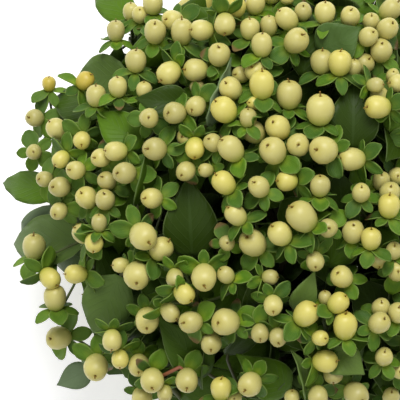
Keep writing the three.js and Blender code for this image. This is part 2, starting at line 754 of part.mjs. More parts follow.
// The elastic band, square to the stems where it holds them.
function bandGeometry() {
  const half = BAND.width / 2;
  const profile = [
    [BAND.inside, -half],
    [BAND.outside, -half],
    [BAND.outside, half],
    [BAND.inside, half],
    [BAND.inside, -half],
  ].map(([x, y]) => new THREE.Vector2(x, y));
  const way = middleLine(STEM.tieY).sub(middleLine(STEM.cutY)).normalize();
  const turn = new THREE.Quaternion().setFromUnitVectors(vec(0, 1, 0), way);
  return new THREE.LatheGeometry(profile, BAND.sides)
    .applyQuaternion(turn)
    .translate(...middleLine(STEM.tieY).toArray());
}

// The bunch's origin is the middle of its length and width, on the table.
const bunch = new THREE.Group();
growth.forEach((pieces, index) => {
  const name = `stem_${String(index + 1).padStart(2, "0")}`;
  bunch.add(named(name, joined(pieces), { color: 0x4a7430, roughness: 0.55, metalness: 0 }));
});
bunch.add(named("band", bandGeometry(), { color: 0xb98a4e, roughness: 0.7, metalness: 0 }));
const middle = new THREE.Box3().setFromObject(bunch).getCenter(vec(0, 0, 0));
bunch.position.set(-middle.x.toFixed(1), -middle.y.toFixed(1), 0);

export default bunch;
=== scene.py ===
"""The looks of a florist's bunch of tutsan (Hypericum) in pale fruit, lying on its side.

Lengths are millimetres in the bunch's own frame: x across it, y from the cut ends to the heads, z up
from the table. A piece gets metres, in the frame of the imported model, only when it gets its mesh.
"""

import itertools
import math
from dataclasses import dataclass
from types import SimpleNamespace as Values

import bpy
import numpy as np
from mathutils import Matrix, Vector
from mathutils.kdtree import KDTree


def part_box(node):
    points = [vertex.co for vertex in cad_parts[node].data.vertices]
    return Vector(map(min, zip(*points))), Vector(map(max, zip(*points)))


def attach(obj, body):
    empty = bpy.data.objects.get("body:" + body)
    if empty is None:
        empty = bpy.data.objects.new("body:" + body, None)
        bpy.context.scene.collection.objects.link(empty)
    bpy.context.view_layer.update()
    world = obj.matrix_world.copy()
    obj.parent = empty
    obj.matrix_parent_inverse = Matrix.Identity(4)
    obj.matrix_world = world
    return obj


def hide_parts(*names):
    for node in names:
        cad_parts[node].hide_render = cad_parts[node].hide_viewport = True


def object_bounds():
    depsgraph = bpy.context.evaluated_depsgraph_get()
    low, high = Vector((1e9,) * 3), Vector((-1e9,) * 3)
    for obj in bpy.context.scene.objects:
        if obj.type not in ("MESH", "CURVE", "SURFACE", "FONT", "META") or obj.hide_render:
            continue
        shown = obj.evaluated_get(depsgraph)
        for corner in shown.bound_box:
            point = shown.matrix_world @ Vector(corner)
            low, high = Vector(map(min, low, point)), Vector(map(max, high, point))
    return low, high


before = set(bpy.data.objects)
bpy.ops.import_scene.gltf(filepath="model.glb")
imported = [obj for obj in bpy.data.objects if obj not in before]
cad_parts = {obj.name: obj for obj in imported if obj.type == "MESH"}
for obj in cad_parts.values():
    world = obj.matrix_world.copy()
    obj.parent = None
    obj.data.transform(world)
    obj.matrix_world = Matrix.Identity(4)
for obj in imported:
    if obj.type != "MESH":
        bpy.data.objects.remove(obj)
cad_low, cad_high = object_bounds()

MM = 0.001
FULL_TURN = 6.28
GOLDEN_ANGLE = math.pi * (3 - math.sqrt(5))

# The head and the wood, as the solids have them. Here and below, what varies by chance is given by its
# lowest value and by how much it varies. What changes along a stem is given at its cut end, at the band
# and at its tip, and what changes along a branch at its two ends.
HEAD = Values(x=42, y=0, z=74, across=114, along=110, up=78, under=92, under_share=0.88)
STEM = Values(
    radius=2.1, count=12, inner=3, cut_y=-290, tie_y=-185, uneven=7, rows=90, sides=10,
    taper=(1.02, 1, 0.72), ages=(1, 0.8, 0.35), slant=1.2, cut_zone=14,
)
SWELLING = Values(count=9, first=12, apart=33, uneven=8, off_tie=10, height=0.3, width=1.6)
FAN = Values(outer=0.52, inner=0.2, outer_y=(2, 26), inner_y=62, bend=1.5)
BUNDLE = Values(outer=7.65, inner=2.9, splay=1.7, cut_z=14.4, tie_z=36)
BAND = Values(inside=10.05, outside=11.8, width=5, apart=1.62, aslant=0.05, segments=48, sides=8)
BRANCH = Values(
    radius=1.25, after_tie=40, before_tip=3, shares=(0.7, 0.4, 1, 0.2, 1.3), stems=4, rows=12, sides=7,
    leaving=0.08, arriving=0.35, taper=(1.45, 1), last_width=0.6, ages=(0.5, 0.2),
)
ROD = Values(length=10, radius=1, first_side=(0.3, 0.2, 0.93))

# The photograph is 400 pixels square. It looks straight down on the lying bunch.
PHOTO = Values(middle=200, pixels_per_mm=2.4, eye_height=900, scale_level=130, margin=1.04)
FORK_DEPTH = 25
SPRIG = Values(rise=8, reach=45)

# The sprigs that the photograph doesn't show, spread round the head, and the dome of fruits of each.
LATTICE = Values(points=78, stem_side=-0.74, seed=4.7)
DOME = Values(fruits=7, pitch=8.6, spacing=(0.92, 0.16), sink=90, lean=26, radius=(3.9, 1.5))
APART = Values(seen=1.04, settled=1.03, rounds=30, step=0.5)

# A fruit is its berry, its calyx and its stalk. The sizes are those of a berry of this radius.
BERRY = Values(
    radius=5, width=(0.97, 0.06), height=(0.94, 0.12), sides=14, lobes=0.035, dimple=0.6, dimple_mark=1.5
)
STYLE = Values(sides=5, bend_height=6.2, mark=2, leans=(-0.6, 0.2, 0.7))
CALYX = Values(
    seat=5.4, spread=0.58, spread_with_size=0.56, spread_when_free=0.14, spins=(0, 0.31, 0.63, 0.94)
)
SEPAL = Values(count=5, foot=0.8, columns=4, rows=6, thick=0.4, cup=1.5, curl=2.5, reach=8, nearness=0.05)
STALK = Values(
    radius=0.75, sides=5, thickness=(0.75, 0.65, 0.6, 0.6, 0.7, 1.1), start=0.9, apart=1.5,
    bend=9, end=5.8, shortest_branch=8, lowest=1, age=0.1,
)

# Leaves: those of the solids, then the pairs under the sprigs, the smaller ones inside the head, and
# those that close the gaps which an eye could look through, dark ones put in as painted shade.
LEAF = Values(thick=0.8, seen_thick=0.48, arch=0.4, slender=0.56, foot_deeper=5, twist=0.9, seen_twist=0.3)
TWIG = Values(end=0.04, leaving=0.4, arriving=0.1, age=0.3)
SOLID_LEAF = Values(
    sinks=(0, 4, 8, 12, -4), turns=(0, 0.5, -0.5, 1, -1, 1.5), rows=((1 / 3, 1), (2 / 3, 0.78))
)
LIFTED = Values(foot=0.7, roll=0.8)
PAIR = Values(start=2.5, apart=4, angle=2.6, length=(34, 12), outwards=0.5, sideways=0.86, tint=(0.1, 0.5))
INNER = Values(
    round_branch=5, outwards=0.34, sideways=0.94, after_tie=60, apart=11, up_stem=0.5, off_stem=0.85,
    length=(24, 8), slender=0.64, within=0.96, tint=(0.15, 0.4),
)
# The closing leaves take the darkest greens, as painted shade in the gaps.
CLOSING = Values(
    step=4, within=0.9, below=12, lowest=16, highest=112, cover=0.36, covered_at=(0.3, 0.5, 0.7),
    shortest=22, longest=40, tint=(0, 0.3),
)
SIDE_EYES = Values(count=8, low=0.35)
BLADE = Values(
    length=40, width=22, rows=11, columns=6, inner_rows=6, inner_columns=2, waves=21, nearness=0.5,
    folds_and_waves=((1.6, 0.2), (3.2, 0.35), (0.8, 0.6)), inner_folds=(1.2, 2.4),
)

# How leaves and sepals bend clear of the berries round them, and how near the table they may come.
BEND = Values(stretch=0.14, rounds=5, reach=8, clear=1.1, touch=1.04, step=0.7, foot=0.25, lever=1.5)
OFF_TABLE = 0.45

# How near a corner of the solids has to be to count as found.
MATCH = Values(corner=0.15, ring=0.14)

# The way that a fruit's tip leans in the photograph: little for small letters, far for capitals.
LEAN = Values(far=math.radians(62), little=math.radians(34))
COMPASS = {"o": (0, 0), "n": (0, 1), "e": (1, 0), "s": (0, -1), "w": (-1, 0)}

# The leaves' tints, from the darkest green on, as places on the colour ramp of their upper side. A seen
# leaf's tint is partly its own green and partly painted light and shade: lighter where it lies lit, darker
# where it lies in shade.
LEAF_TINTS = {
    "dark": 0.06, "mid": 0.3, "bright": 0.55, "yellow": 0.67, "sage": 0.74, "grey": 0.8, "pale": 1,
}

# Places on the colour ramp of the berries as they ripen: those with a radius under the large one are
# duller. Then the berries of the photograph that are golden, young and yellow, or dull, the dull ones
# lying in shade and given the end of the ramp as painted shade.
RIPE = Values(
    golden=0, young=(0.2, 0.12), young_share=0.2, cream=(0.36, 0.44), small=0.2, dull=1, large=5.4,
    nearness=3,
)
GOLDEN = [(85, 81), (49, 84)]
YOUNG = [
    (378, 107), (195, 148), (287, 181), (184, 293), (325, 361), (320, 338), (224, 183), (224, 110),
    (254, 103), (61, 159), (221, 389), (338, 303), (371, 239), (94, 242), (50, 278), (76, 274),
    (120, 359), (340, 63), (262, 85), (234, 7), (389, 206), (82, 140), (345, 326), (306, 314),
]
SHADED_BERRIES = [
    (260, 333), (278, 337), (227, 243), (175, 113), (60, 187), (107, 181), (125, 173), (45, 179),
    (35, 118), (116, 31), (303, 12), (356, 394), (155, 149),
]

# Fruits further left than this stand free of the head, and their sepals are wider, and lighter by painted
# light as if lit from behind.
FREE = Values(start=-40, full=22)

# The reddish twig of the photograph, from pixel to pixel.
SEEN_TWIG = Values(start=(162, 376), end=(180, 367), depth=-2, thickness=0.8, age=2)

# The pale table and the light: two soft lights, where they hang, how wide they are and how strong, in
# metres and watts, and the light from all round.
FLOOR = Values(size=6, roughness=0.8, glow=0.35)
LIGHTS = [("window", (0, 1.0, 1.4), 0.8, 21), ("front", (-0.5, -0.6, 1.6), 1.2, 4)]
ALL_ROUND_LIGHT = 0.46

# Sprigs that the photograph shows, front ones first: where the fork is, then each fruit's middle, its
# width, and the way that its tip leans in the picture ("o" faces the eye).
SEEN_SPRIGS = [
    ((335, 84), [
        (340, 63, 23, "N"), (322, 62, 23, "N"), (320, 110, 28, "N"), (289, 95, 25, "N"),
        (354, 68, 15, "N"),
    ]),
    ((274, 42), [
        (296, 41, 24, "ne"), (262, 45, 21, "N"), (287, 19, 21, "NW"), (250, 29, 20, "N"),
        (269, 26, 18, "N"),
    ]),
    ((246, 96), [
        (262, 85, 25, "N"), (254, 103, 14, "w"), (224, 110, 25, "NW"), (231, 89, 22, "nw"),
        (256, 72, 21, "nw"), (241, 75, 17, "w"), (248, 118, 17, "N"),
    ]),
    ((250, 142), [
        (273, 151, 26, "nw"), (278, 128, 24, "nw"), (254, 132, 22, "NW"), (231, 149, 24, "NW"),
        (213, 143, 18, "nw"),
    ]),
    ((318, 158), [
        (324, 150, 27, "w"), (298, 145, 23, "o"), (352, 159, 23, "W"), (287, 181, 20, "W"),
        (320, 186, 20, "N"),
    ]),
    ((244, 192), [
        (259, 187, 21, "nw"), (224, 183, 22, "NW"), (236, 215, 20, "NW"), (206, 170, 14, "W"),
        (253, 243, 27, "nw"), (227, 243, 16, "o"),
    ]),
    ((304, 230), [
        (302, 217, 28, "NW"), (280, 234, 23, "NW"), (328, 228, 19, "o"), (315, 261, 18, "s"),
    ]),
    ((372, 216), [
        (389, 206, 22, "N"), (371, 239, 20, "N"), (353, 232, 22, "n"), (390, 193, 21, "n"),
        (381, 181, 18, "n"), (397, 176, 18, "o"), (361, 193, 18, "n"), (394, 251, 17, "n"),
        (379, 258, 19, "S"),
    ]),
    ((326, 328), [
        (306, 314, 24, "NE"), (338, 303, 20, "NE"), (325, 361, 23, "E"), (320, 338, 16, "e"),
        (345, 326, 24, "N"), (342, 277, 22, "nw"), (333, 373, 20, "S"), (325, 298, 13, "N"),
    ]),
    ((386, 332), [
        (379, 323, 21, "ne"), (398, 313, 20, "n"), (384, 357, 18, "n"), (381, 308, 19, "n"),
        (397, 271, 20, "o"), (399, 371, 16, "o"),
    ]),
    ((196, 300), [
        (204, 277, 25, "s"), (184, 293, 20, "SE"), (226, 322, 27, "w"), (147, 320, 24, "s"),
        (226, 275, 17, "NW"), (175, 278, 17, "S"), (191, 322, 22, "w"), (211, 343, 21, "s"),
        (170, 312, 18, "SE"),
    ]),
    ((144, 248), [
        (137, 275, 27, "s"), (143, 236, 27, "se"), (161, 249, 23, "NE"), (152, 198, 21, "w"),
        (121, 265, 15, "W"),
    ]),
    ((84, 232), [
        (94, 242, 19, "S"), (82, 234, 19, "NW"), (76, 274, 20, "W"), (50, 278, 21, "SE"),
        (34, 247, 25, "N"), (99, 223, 16, "N"), (59, 211, 18, "sw"), (55, 298, 24, "N"),
    ]),
    ((66, 168), [
        (82, 140, 18, "s"), (76, 170, 19, "w"), (61, 159, 17, "SW"), (60, 187, 21, "w"),
        (45, 179, 17, "w"),
    ]),
    ((46, 122), [
        (35, 118, 19, "w"), (57, 129, 21, "NW"), (34, 152, 17, "o"), (49, 84, 15, "N"),
    ]),
    ((112, 168), [
        (125, 173, 22, "w"), (116, 151, 20, "W"), (105, 200, 20, "n"), (87, 198, 22, "nw"),
        (107, 181, 18, "nw"), (101, 158, 19, "w"),
    ]),
    ((158, 124), [
        (149, 118, 20, "o"), (155, 149, 23, "w"), (175, 113, 22, "w"), (144, 90, 16, "N"),
    ]),
    ((194, 124), [
        (195, 148, 20, "S"), (188, 137, 20, "w"), (196, 70, 23, "W"), (196, 106, 20, "sw"),
        (197, 87, 15, "o"), (186, 171, 19, "sw"),
    ]),
    ((226, 30), [
        (225, 24, 21, "S"), (234, 7, 24, "n"), (202, 30, 21, "W"), (255, 4, 20, "N"), (219, 55, 22, "n"),
    ]),
    ((168, 40), [
        (155, 32, 23, "n"), (182, 32, 23, "N"), (169, 73, 23, "SW"), (173, 20, 21, "w"),
        (153, 4, 21, "N"),
    ]),
    ((130, 38), [
        (136, 61, 22, "N"), (116, 31, 19, "N"), (140, 15, 17, "n"), (131, 12, 17, "N"),
    ]),
    ((104, 96), [
        (96, 96, 20, "N"), (118, 87, 19, "N"), (85, 81, 18, "NE"),
    ]),
    ((376, 38), [
        (368, 37, 19, "ne"), (387, 29, 21, "ne"), (381, 51, 22, "n"), (364, 64, 20, "ne"),
        (390, 10, 21, "NE"), (371, 22, 17, "n"),
    ]),
    ((324, 14), [
        (325, 13, 21, "N"), (350, 17, 20, "n"), (303, 12, 18, "n"), (287, -2, 14, "o"),
    ]),
    ((382, 92), [
        (378, 107, 23, "W"), (375, 85, 15, "E"), (379, 97, 19, "N"), (398, 83, 18, "W"),
        (393, 76, 14, "n"),
    ]),
    ((98, 352), [
        (96, 367, 26, "s"), (112, 340, 20, "S"), (59, 338, 25, "w"), (120, 359, 18, "S"),
    ]),
    ((160, 378), [
        (152, 380, 24, "s"), (187, 380, 23, "s"), (139, 365, 22, "s"), (142, 397, 22, "s"),
        (165, 393, 16, "S"),
    ]),
    ((238, 386), [
        (250, 384, 24, "sw"), (221, 389, 21, "N"), (234, 398, 16, "o"),
    ]),
    ((268, 322), [
        (273, 305, 19, "s"), (278, 337, 18, "s"), (260, 333, 18, "s"), (270, 277, 15, "E"),
    ]),
    ((334, 396), [
        (356, 394, 24, "se"), (318, 396, 20, "s"), (292, 398, 16, "N"), (391, 397, 18, "n"),
    ]),
]

# Leaves that the photograph shows: foot and tip, width in pixels, depth under the head's surface in
# millimetres, roll about the midrib in degrees, tint, which is partly painted light and shade, and how
# far in millimetres the leaf is moved towards the eye, out of the berries that it would cross.
SEEN_LEAVES = [
    (192, 258, 188, 175, 56, 12, 0, "dark", 0),
    (352, 150, 355, 71, 50, 10, 0, "dark", 10),
    (128, 76, 78, 76, 50, 12, -20, "sage", 0),
    (104, 114, 56, 97, 50, 14, 25, "mid", 0),
    (142, 146, 96, 112, 40, 13, 0, "bright", 16),
    (60, 192, 3, 183, 36, 24, 0, "bright", 0),
    (86, 240, 14, 244, 56, 12, 10, "sage", 0),
    (54, 206, 24, 236, 26, 26, 0, "pale", 0),
    (120, 276, 93, 333, 54, 10, 0, "sage", 0),
    (136, 206, 147, 144, 30, 6, 68, "mid", 10),
    (188, 102, 133, 93, 34, 16, 0, "dark", 22),
    (134, 24, 96, -14, 38, 14, 0, "bright", 0),
    (302, 76, 310, 12, 40, 15, 20, "dark", 14),
    (318, 50, 363, 22, 46, 12, 0, "grey", 30),
    (208, 126, 238, 58, 30, 4, 70, "pale", 10),
    (342, 210, 338, 168, 34, 24, 0, "dark", 16),
    (328, 266, 366, 198, 40, 10, 35, "mid", 8),
    (262, 318, 262, 264, 40, 24, 0, "dark", 20),
    (226, 354, 270, 300, 26, 16, 40, "dark", 0),
    (296, 310, 315, 270, 26, 6, 10, "yellow", 3),
    (388, 326, 350, 274, 50, 22, 0, "dark", 0),
    (288, 392, 236, 354, 44, 14, 0, "bright", 0),
    (304, 400, 291, 350, 26, 5, 60, "yellow", 8),
    (326, 346, 364, 376, 38, 8, 0, "yellow", 12),
    (208, 374, 157, 317, 44, 8, 0, "mid", 0),
    (92, 368, 57, 385, 30, 18, 0, "pale", 0),
]

# A berry's profile from its foot to the rim of its dimple, then into the dimple, and its dried style.
BERRY_PROFILE = [
    (0.6, -5.9), (2.25, -5.35), (3.65, -4.1), (4.6, -2.2), (5, -0.1), (4.9, 1.9),
    (4.15, 3.8), (2.85, 5.05), (1.5, 5.55), (0.85, 5.55), (0.4, 5.3),
]
STYLE_PROFILE = [(0.45, 5.1), (0.3, 5.8), (0.24, 6.5), (0.4, 6.8), (0.14, 7)]

# The share of its width that a sepal or a leaf has at even steps from foot to tip.
SEPAL_OUTLINE = (0.36, 0.6, 0.84, 1, 0.98, 0.76, 0.24)
BLADE_OUTLINE = (0.2, 0.62, 0.86, 0.97, 1, 0.97, 0.88, 0.75, 0.57, 0.37, 0.18, 0.02)

# Four calyces, with the length, width, fall, cup and curl of their five sepals.
SEPAL_FORMS = [
    [
        (8.6, 7, 3.6, 0.7, 0.8), (7, 4.6, 4.4, 0.5, -0.4), (8.2, 6.4, 2.4, 0.8, -0.8),
        (6.6, 4.2, 1.6, 0.4, 0.6), (7.8, 5.6, 4.8, 0.5, 1),
    ],
    [
        (8.8, 7.4, 1.4, 0.9, -1.2), (6.8, 4.4, 3.2, 0.4, 0.5), (7.2, 5, 5, 0.5, 0.8),
        (8.2, 6.8, 3.4, 0.8, -0.6), (6.4, 4, 2, 0.4, 0.4),
    ],
    [
        (7.6, 6, 5.2, 0.6, 1), (8.4, 7, 3, 0.8, 0.6), (6.8, 4.4, 4, 0.4, -0.6),
        (7.4, 5.2, 1.8, 0.6, 0.9), (6.6, 4.6, 3, 0.5, -0.4),
    ],
    [
        (8, 6.6, 0.6, 0.8, -0.8), (7.2, 4.6, 2.6, 0.5, 0.6), (8.6, 7, 4.2, 0.7, 1.2),
        (6.6, 4.4, 1.2, 0.4, -0.8), (7, 5.2, 3.6, 0.5, 0.3),
    ],
]

# Colours are linear red, green and blue, and a ramp gives each with its place on it. A berry goes by how
# far it has ripened, whose dull end is also painted shade for the berries in shade, and is multiplied by
# colours from its foot to its tip: painted shade towards its foot, its olive dimple and its brown style.
RIPENING_AND_SHADE = [
    (0, (0.58, 0.45, 0.055)),
    (0.2, (0.67, 0.595, 0.13)),
    (0.5, (0.63, 0.572, 0.185)),
    (1, (0.46, 0.42, 0.145)),
]
BERRY_FOOT_SHADE_AND_TIP = [
    (0, (0.6, 0.72, 0.35)),
    (0.16, (0.88, 0.93, 0.7)),
    (0.4, (1, 1, 1)),
    (0.66, (1, 1, 1)),
    (0.74, (0.9, 0.87, 0.66)),
    (0.84, (0.46, 0.37, 0.16)),
    (0.95, (0.34, 0.21, 0.07)),
]
UP_TO_SHADE = Values(factor=0.31, start=0.38)
BERRY_CLOUDS = (0.48, 0.42, 0.12)

# A sepal goes from its foot to its tip and its edges, and is then mixed with these other colours. The
# light green is also painted light on the sepals that stand free of the head.
SEPAL_GREENS = [
    (0, (0.42, 0.44, 0.05)),
    (0.28, (0.25, 0.34, 0.02)),
    (0.6, (0.075, 0.18, 0.008)),
    (1, (0.085, 0.175, 0.01)),
]
SEPAL_COLOURS = Values(
    light=(0.15, 0.27, 0.02),
    dark=(0.03, 0.078, 0.018),
    veins=(0.18, 0.28, 0.03),
    margin=(0.22, 0.3, 0.07),
    flush=(0.24, 0.1, 0.06),
)

# A leaf's two sides go by its tint. Both have veins and a margin.
UPPER_GREENS = [
    (0, (0.024, 0.046, 0.004)),
    (0.3, (0.052, 0.105, 0.008)),
    (0.55, (0.1, 0.205, 0.01)),
    (0.67, (0.18, 0.28, 0.06)),
    (0.8, (0.08, 0.145, 0.035)),
    (1, (0.2, 0.28, 0.15)),
]
UNDER_GREENS = [(0, (0.07, 0.115, 0.025)), (0.5, (0.12, 0.2, 0.05)), (1, (0.16, 0.22, 0.11))]
UPPER_VEINS = (0.09, 0.15, 0.05)
UNDER_VEINS = (0.2, 0.3, 0.12)
LEAF_MARGIN = (0.2, 0.27, 0.1)

# Wood goes by its age, from green stalks to brown stems, and past them to the reddish twig.
BARK_AGES = [
    (0, (0.09, 0.15, 0.02)),
    (0.15, (0.06, 0.075, 0.015)),
    (0.35, (0.08, 0.045, 0.02)),
    (0.5, (0.12, 0.075, 0.037)),
    (0.9, (0.34, 0.11, 0.05)),
]
BARK_STREAKS = (0.045, 0.03, 0.015)
CUT_WOOD = Values(light=(0.62, 0.56, 0.32), dark=(0.4, 0.33, 0.16))
ELASTIC = Values(light=(0.5, 0.33, 0.14), dark=(0.4, 0.25, 0.1))


@dataclass
class Fruit:
    """A fruit: its berry's middle and radius, the way its tip points, and whether it is in the table."""

    middle: Vector
    radius: float
    axis: Vector
    shown: bool


@dataclass
class Stem:
    """A stem: its place in the bundle, how far it fans out, where it is cut off, and its tip."""

    index: int
    offset: Vector
    fan: Vector
    cut_y: float
    tip: Vector


@dataclass
class Sprig:
    """A sprig: the fork that its stalks come from, the way that it faces, and the branch it ends."""

    fork: Vector
    outward: Vector
    fruits: list
    stem: int = 0
    line: np.ndarray = None
    back: Vector = None


@dataclass
class Leaf:
    """A leaf: its stem, its blade's foot, tip, width, facing and roll, its tint, and its twig's start."""

    stem: int
    shape: tuple
    tint: float
    twig: Vector = None
    inner: bool = False


def chance(item, draw):
    """A chance from 0 to 1, the same on each run. Each of an item's draws has its own number."""
    wave = math.sin(item * 78.233 + draw * 37.719 + LATTICE.seed) * 43758.5453
    return wave - math.floor(wave)


def pick(span, item, draw):
    """A value by chance from a span, which is its lowest value and how much it varies."""
    low, more = span
    return low + more * chance(item, draw)


def between(low, high, value):
    """A value held between two others."""
    return min(high, max(low, value))


def from_photo(px, py, z):
    """Where a pixel of the photograph lies at height z."""
    mm = (PHOTO.eye_height - z) / (PHOTO.eye_height - PHOTO.scale_level) / PHOTO.pixels_per_mm
    return Vector(((px - PHOTO.middle) * mm, (PHOTO.middle - py) * mm, z))


def on_crown(px, py, depth):
    """Where a pixel of the photograph lies, a depth under the upper surface of the head."""
    near = from_photo(px, py, PHOTO.scale_level)
    across = (near.x - HEAD.x) / HEAD.across
    along = (near.y - HEAD.y) / HEAD.along
    crown = HEAD.z + HEAD.up * math.sqrt(max(0, 1 - across * across - along * along))
    return from_photo(px, py, crown - depth)


def in_photo(point):
    """Whether a point of the head shows in the photograph, where the table gives every fruit."""
    reach = PHOTO.middle / PHOTO.pixels_per_mm * PHOTO.margin
    return point.z > HEAD.z and abs(point.x) < reach and abs(point.y) < reach


def inside_head(point, share):
    """Whether a point lies within a share of the head's size."""
    size = Vector((HEAD.across, HEAD.along, HEAD.up if point.z > HEAD.z else HEAD.under))
    off = point - Vector((HEAD.x, HEAD.y, HEAD.z))
    return Vector((off.x / size.x, off.y / size.y, off.z / size.z)).length < share


def lean_of(letters):
    """The way that a fruit's tip points, from its letters in the table."""
    flat = Vector((0, 0))
    for letter in letters.lower():
        flat += Vector(COMPASS[letter])
    tilt = LEAN.little if letters.islower() else LEAN.far
    if flat.length == 0:
        return Vector((0, 0, 1))
    flat = flat.normalized() * math.sin(tilt)
    return Vector((flat.x, flat.y, math.cos(tilt)))


def frame_across(outward):
    """Two directions across a third one, square to it and to each other."""
    side = Vector((outward.z, 0, -outward.x)).normalized()
    return side, outward.cross(side)


def towards(across, angle):
    """The way at an angle between two directions that are square to each other."""
    side, over = across
    return side * math.cos(angle) + over * math.sin(angle)


def seen_sprigs():
    """The photograph's sprigs. A fruit sinks until it is clear of those listed before it."""
    sprigs, placed = [], []
    for at, fruits in SEEN_SPRIGS:
        made = []
        for px, py, width, letters in fruits:
            off = min(1, math.hypot(px - at[0], py - at[1]) / SPRIG.reach)
            spot = on_crown(px, py, -SPRIG.rise * (1 - off * off))
            radius = width / 2 / PHOTO.pixels_per_mm
            for other in placed:
                touch = (radius + other.radius) * APART.seen
                apart = math.hypot(spot.x - other.middle.x, spot.y - other.middle.y)
                if apart < touch:
                    spot.z = min(spot.z, other.middle.z - math.sqrt(touch * touch - apart * apart))
            fruit = Fruit(from_photo(px, py, spot.z), radius, lean_of(letters), True)
            placed.append(fruit)
            made.append(fruit)
        sprigs.append(Sprig(on_crown(*at, FORK_DEPTH), Vector((0, 0, 1)), made))
    return sprigs


def dome_of_fruits(index, middle, outward):
    """The fruits of a sprig that the photograph doesn't show: a dome of them, from its middle outwards."""
    across = frame_across(outward)
    fruits = []
    for k in range(DOME.fruits):
        radius = pick(DOME.radius, index, k + 3)
        far = DOME.pitch * math.sqrt(k) * pick(DOME.spacing, index, k + 20)
        sideways = towards(across, k * GOLDEN_ANGLE + FULL_TURN * chance(index, 1))
        spot = middle + sideways * far - outward * (far * far / DOME.sink)
        spot.z = max(spot.z, radius)
        axis = (outward + sideways * (far / DOME.lean)).normalized()
        if not in_photo(spot):
            fruits.append(Fruit(spot, radius, axis, False))
    return fruits


def hidden_sprigs():
    """The sprigs past the photograph's edges and on the underside, spaced evenly round the head."""
    sprigs = []
    for i in range(LATTICE.points):
        y = 1 - 2 * (i + 0.5) / LATTICE.points
        ring = math.sqrt(1 - y * y)
        outward = Vector((ring * math.cos(i * GOLDEN_ANGLE), y, ring * math.sin(i * GOLDEN_ANGLE)))
        under = outward.z < 0
        share = HEAD.under_share if under else 1
        size = Vector((HEAD.across * share, HEAD.along * share, HEAD.under if under else HEAD.up))
        middle = outward * size + Vector((HEAD.x, HEAD.y, HEAD.z))
        if outward.y < LATTICE.stem_side or in_photo(middle):
            continue
        fork = middle - outward * FORK_DEPTH
        fork.z = max(fork.z, FORK_DEPTH / 2)
        sprigs.append(Sprig(fork, outward, dome_of_fruits(i, middle, outward)))
    return sprigs


def settle(fruits):
    """Moves the fruits that the photograph doesn't show off each other and off those that it shows."""
    places = np.array([fruit.middle for fruit in fruits])
    sizes = np.array([fruit.radius for fruit in fruits])
    free = np.array([not fruit.shown for fruit in fruits])
    for _ in range(APART.rounds):
        gaps = places[:, None] - places[None]
        far = np.linalg.norm(gaps, axis=2) + np.eye(len(fruits)) * 1000
        over = np.maximum(0, (sizes[:, None] + sizes[None]) * APART.settled - far)
        push = (gaps / far[:, :, None] * over[:, :, None]).sum(axis=1) * APART.step
        places[free] += push[free]
        places[:, 2] = np.maximum(places[:, 2], sizes)
    for fruit, place in zip(fruits, places):
        fruit.middle = Vector(place)


def middle_line(y):
    """The middle line of the bunch: up from the cut ends to the height of the head, then level."""
    behind = (y - STEM.tie_y) / (STEM.cut_y - STEM.tie_y)
    ahead = min(1, (y - STEM.tie_y) / (HEAD.y - STEM.tie_y))
    if behind > 0:
        return Vector((HEAD.x, y, BUNDLE.tie_z + (BUNDLE.cut_z - BUNDLE.tie_z) * behind))
    return Vector((HEAD.x, y, BUNDLE.tie_z + (HEAD.z - BUNDLE.tie_z) * ahead))


def make_stem(index):
    """A stem's place in the tied bundle, and the tip that it fans out to inside the head."""
    outer = STEM.count - STEM.inner
    is_inner = index >= outer
    turn = (index - outer) / STEM.inner if is_inner else (index + 0.5) / outer
    around = Vector((math.cos(turn * 2 * math.pi), 0, math.sin(turn * 2 * math.pi)))
    tip_y = FAN.inner_y if is_inner else pick(FAN.outer_y, index, 50)
    offset = around * (BUNDLE.inner if is_inner else BUNDLE.outer)
    fan = around * Vector((HEAD.across, 0, HEAD.up)) * (FAN.inner if is_inner else FAN.outer)
    cut_y = STEM.cut_y + STEM.uneven * chance(index, 60)
    return Stem(index, offset, fan, cut_y, middle_line(tip_y) + fan)


def stem_point(stem, y):
    """A point of a stem: packed at the tie, a little splayed at the cut, fanned out in the head."""
    behind = max(0, (STEM.tie_y - y) / (STEM.tie_y - STEM.cut_y))
    start = STEM.tie_y + BAND.width
    ahead = max(0, (y - start) / (stem.tip.y - start))
    point = middle_line(y) + stem.offset * (1 + (BUNDLE.splay - 1) * behind * behind)
    return point + (stem.fan - stem.offset) * ahead**FAN.bend


def bezier(corners, count):
    """Points at equal steps along the length of a cubic curve through its four corners."""
    t = np.linspace(0, 1, 201)[:, None]
    a, b, c, d = (np.array(corner) for corner in corners)
    fine = a * (1 - t) ** 3 + b * 3 * t * (1 - t) ** 2 + c * 3 * t * t * (1 - t) + d * t**3
    lengths = np.concatenate([[0], np.cumsum(np.linalg.norm(np.diff(fine, axis=0), axis=1))])
    stops = np.linspace(0, lengths[-1], count)
    return np.stack([np.interp(stops, lengths, fine[:, k]) for k in range(3)], axis=1)


def branch_corners(stem, sprig, share):
    """A branch leaves its stem some way back from its fork, by a share of the distance."""
    back = share * (sprig.fork - stem.tip).length
    y = min(stem.tip.y - BRANCH.before_tip, sprig.fork.y - back)
    start = stem_point(stem, max(STEM.tie_y + BRANCH.after_tie, y))
    heading = (stem_point(stem, start.y + 1) - start).normalized()
    span = (start - sprig.fork).length
    leaving = start + heading * span * BRANCH.leaving
    arriving = sprig.fork - sprig.outward * span * BRANCH.arriving
    return [start, leaving, arriving, sprig.fork]


# What grew in the solids is found again from their corners, so that every piece stays where it is.
band_low, band_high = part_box("band")
SHIFT = (band_low + band_high) / 2 / MM - middle_line(STEM.tie_y)
STEM_NODES = [f"stem_{index + 1:02d}" for index in range(STEM.count)]


def corners_of(node):
    """The corners of a node's solid, to be searched by place."""
    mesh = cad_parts[node].data
    tree = KDTree(len(mesh.vertices))
    for vertex in mesh.vertices:
        tree.insert(vertex.co / MM - SHIFT, vertex.index)
    tree.balance()
    return tree


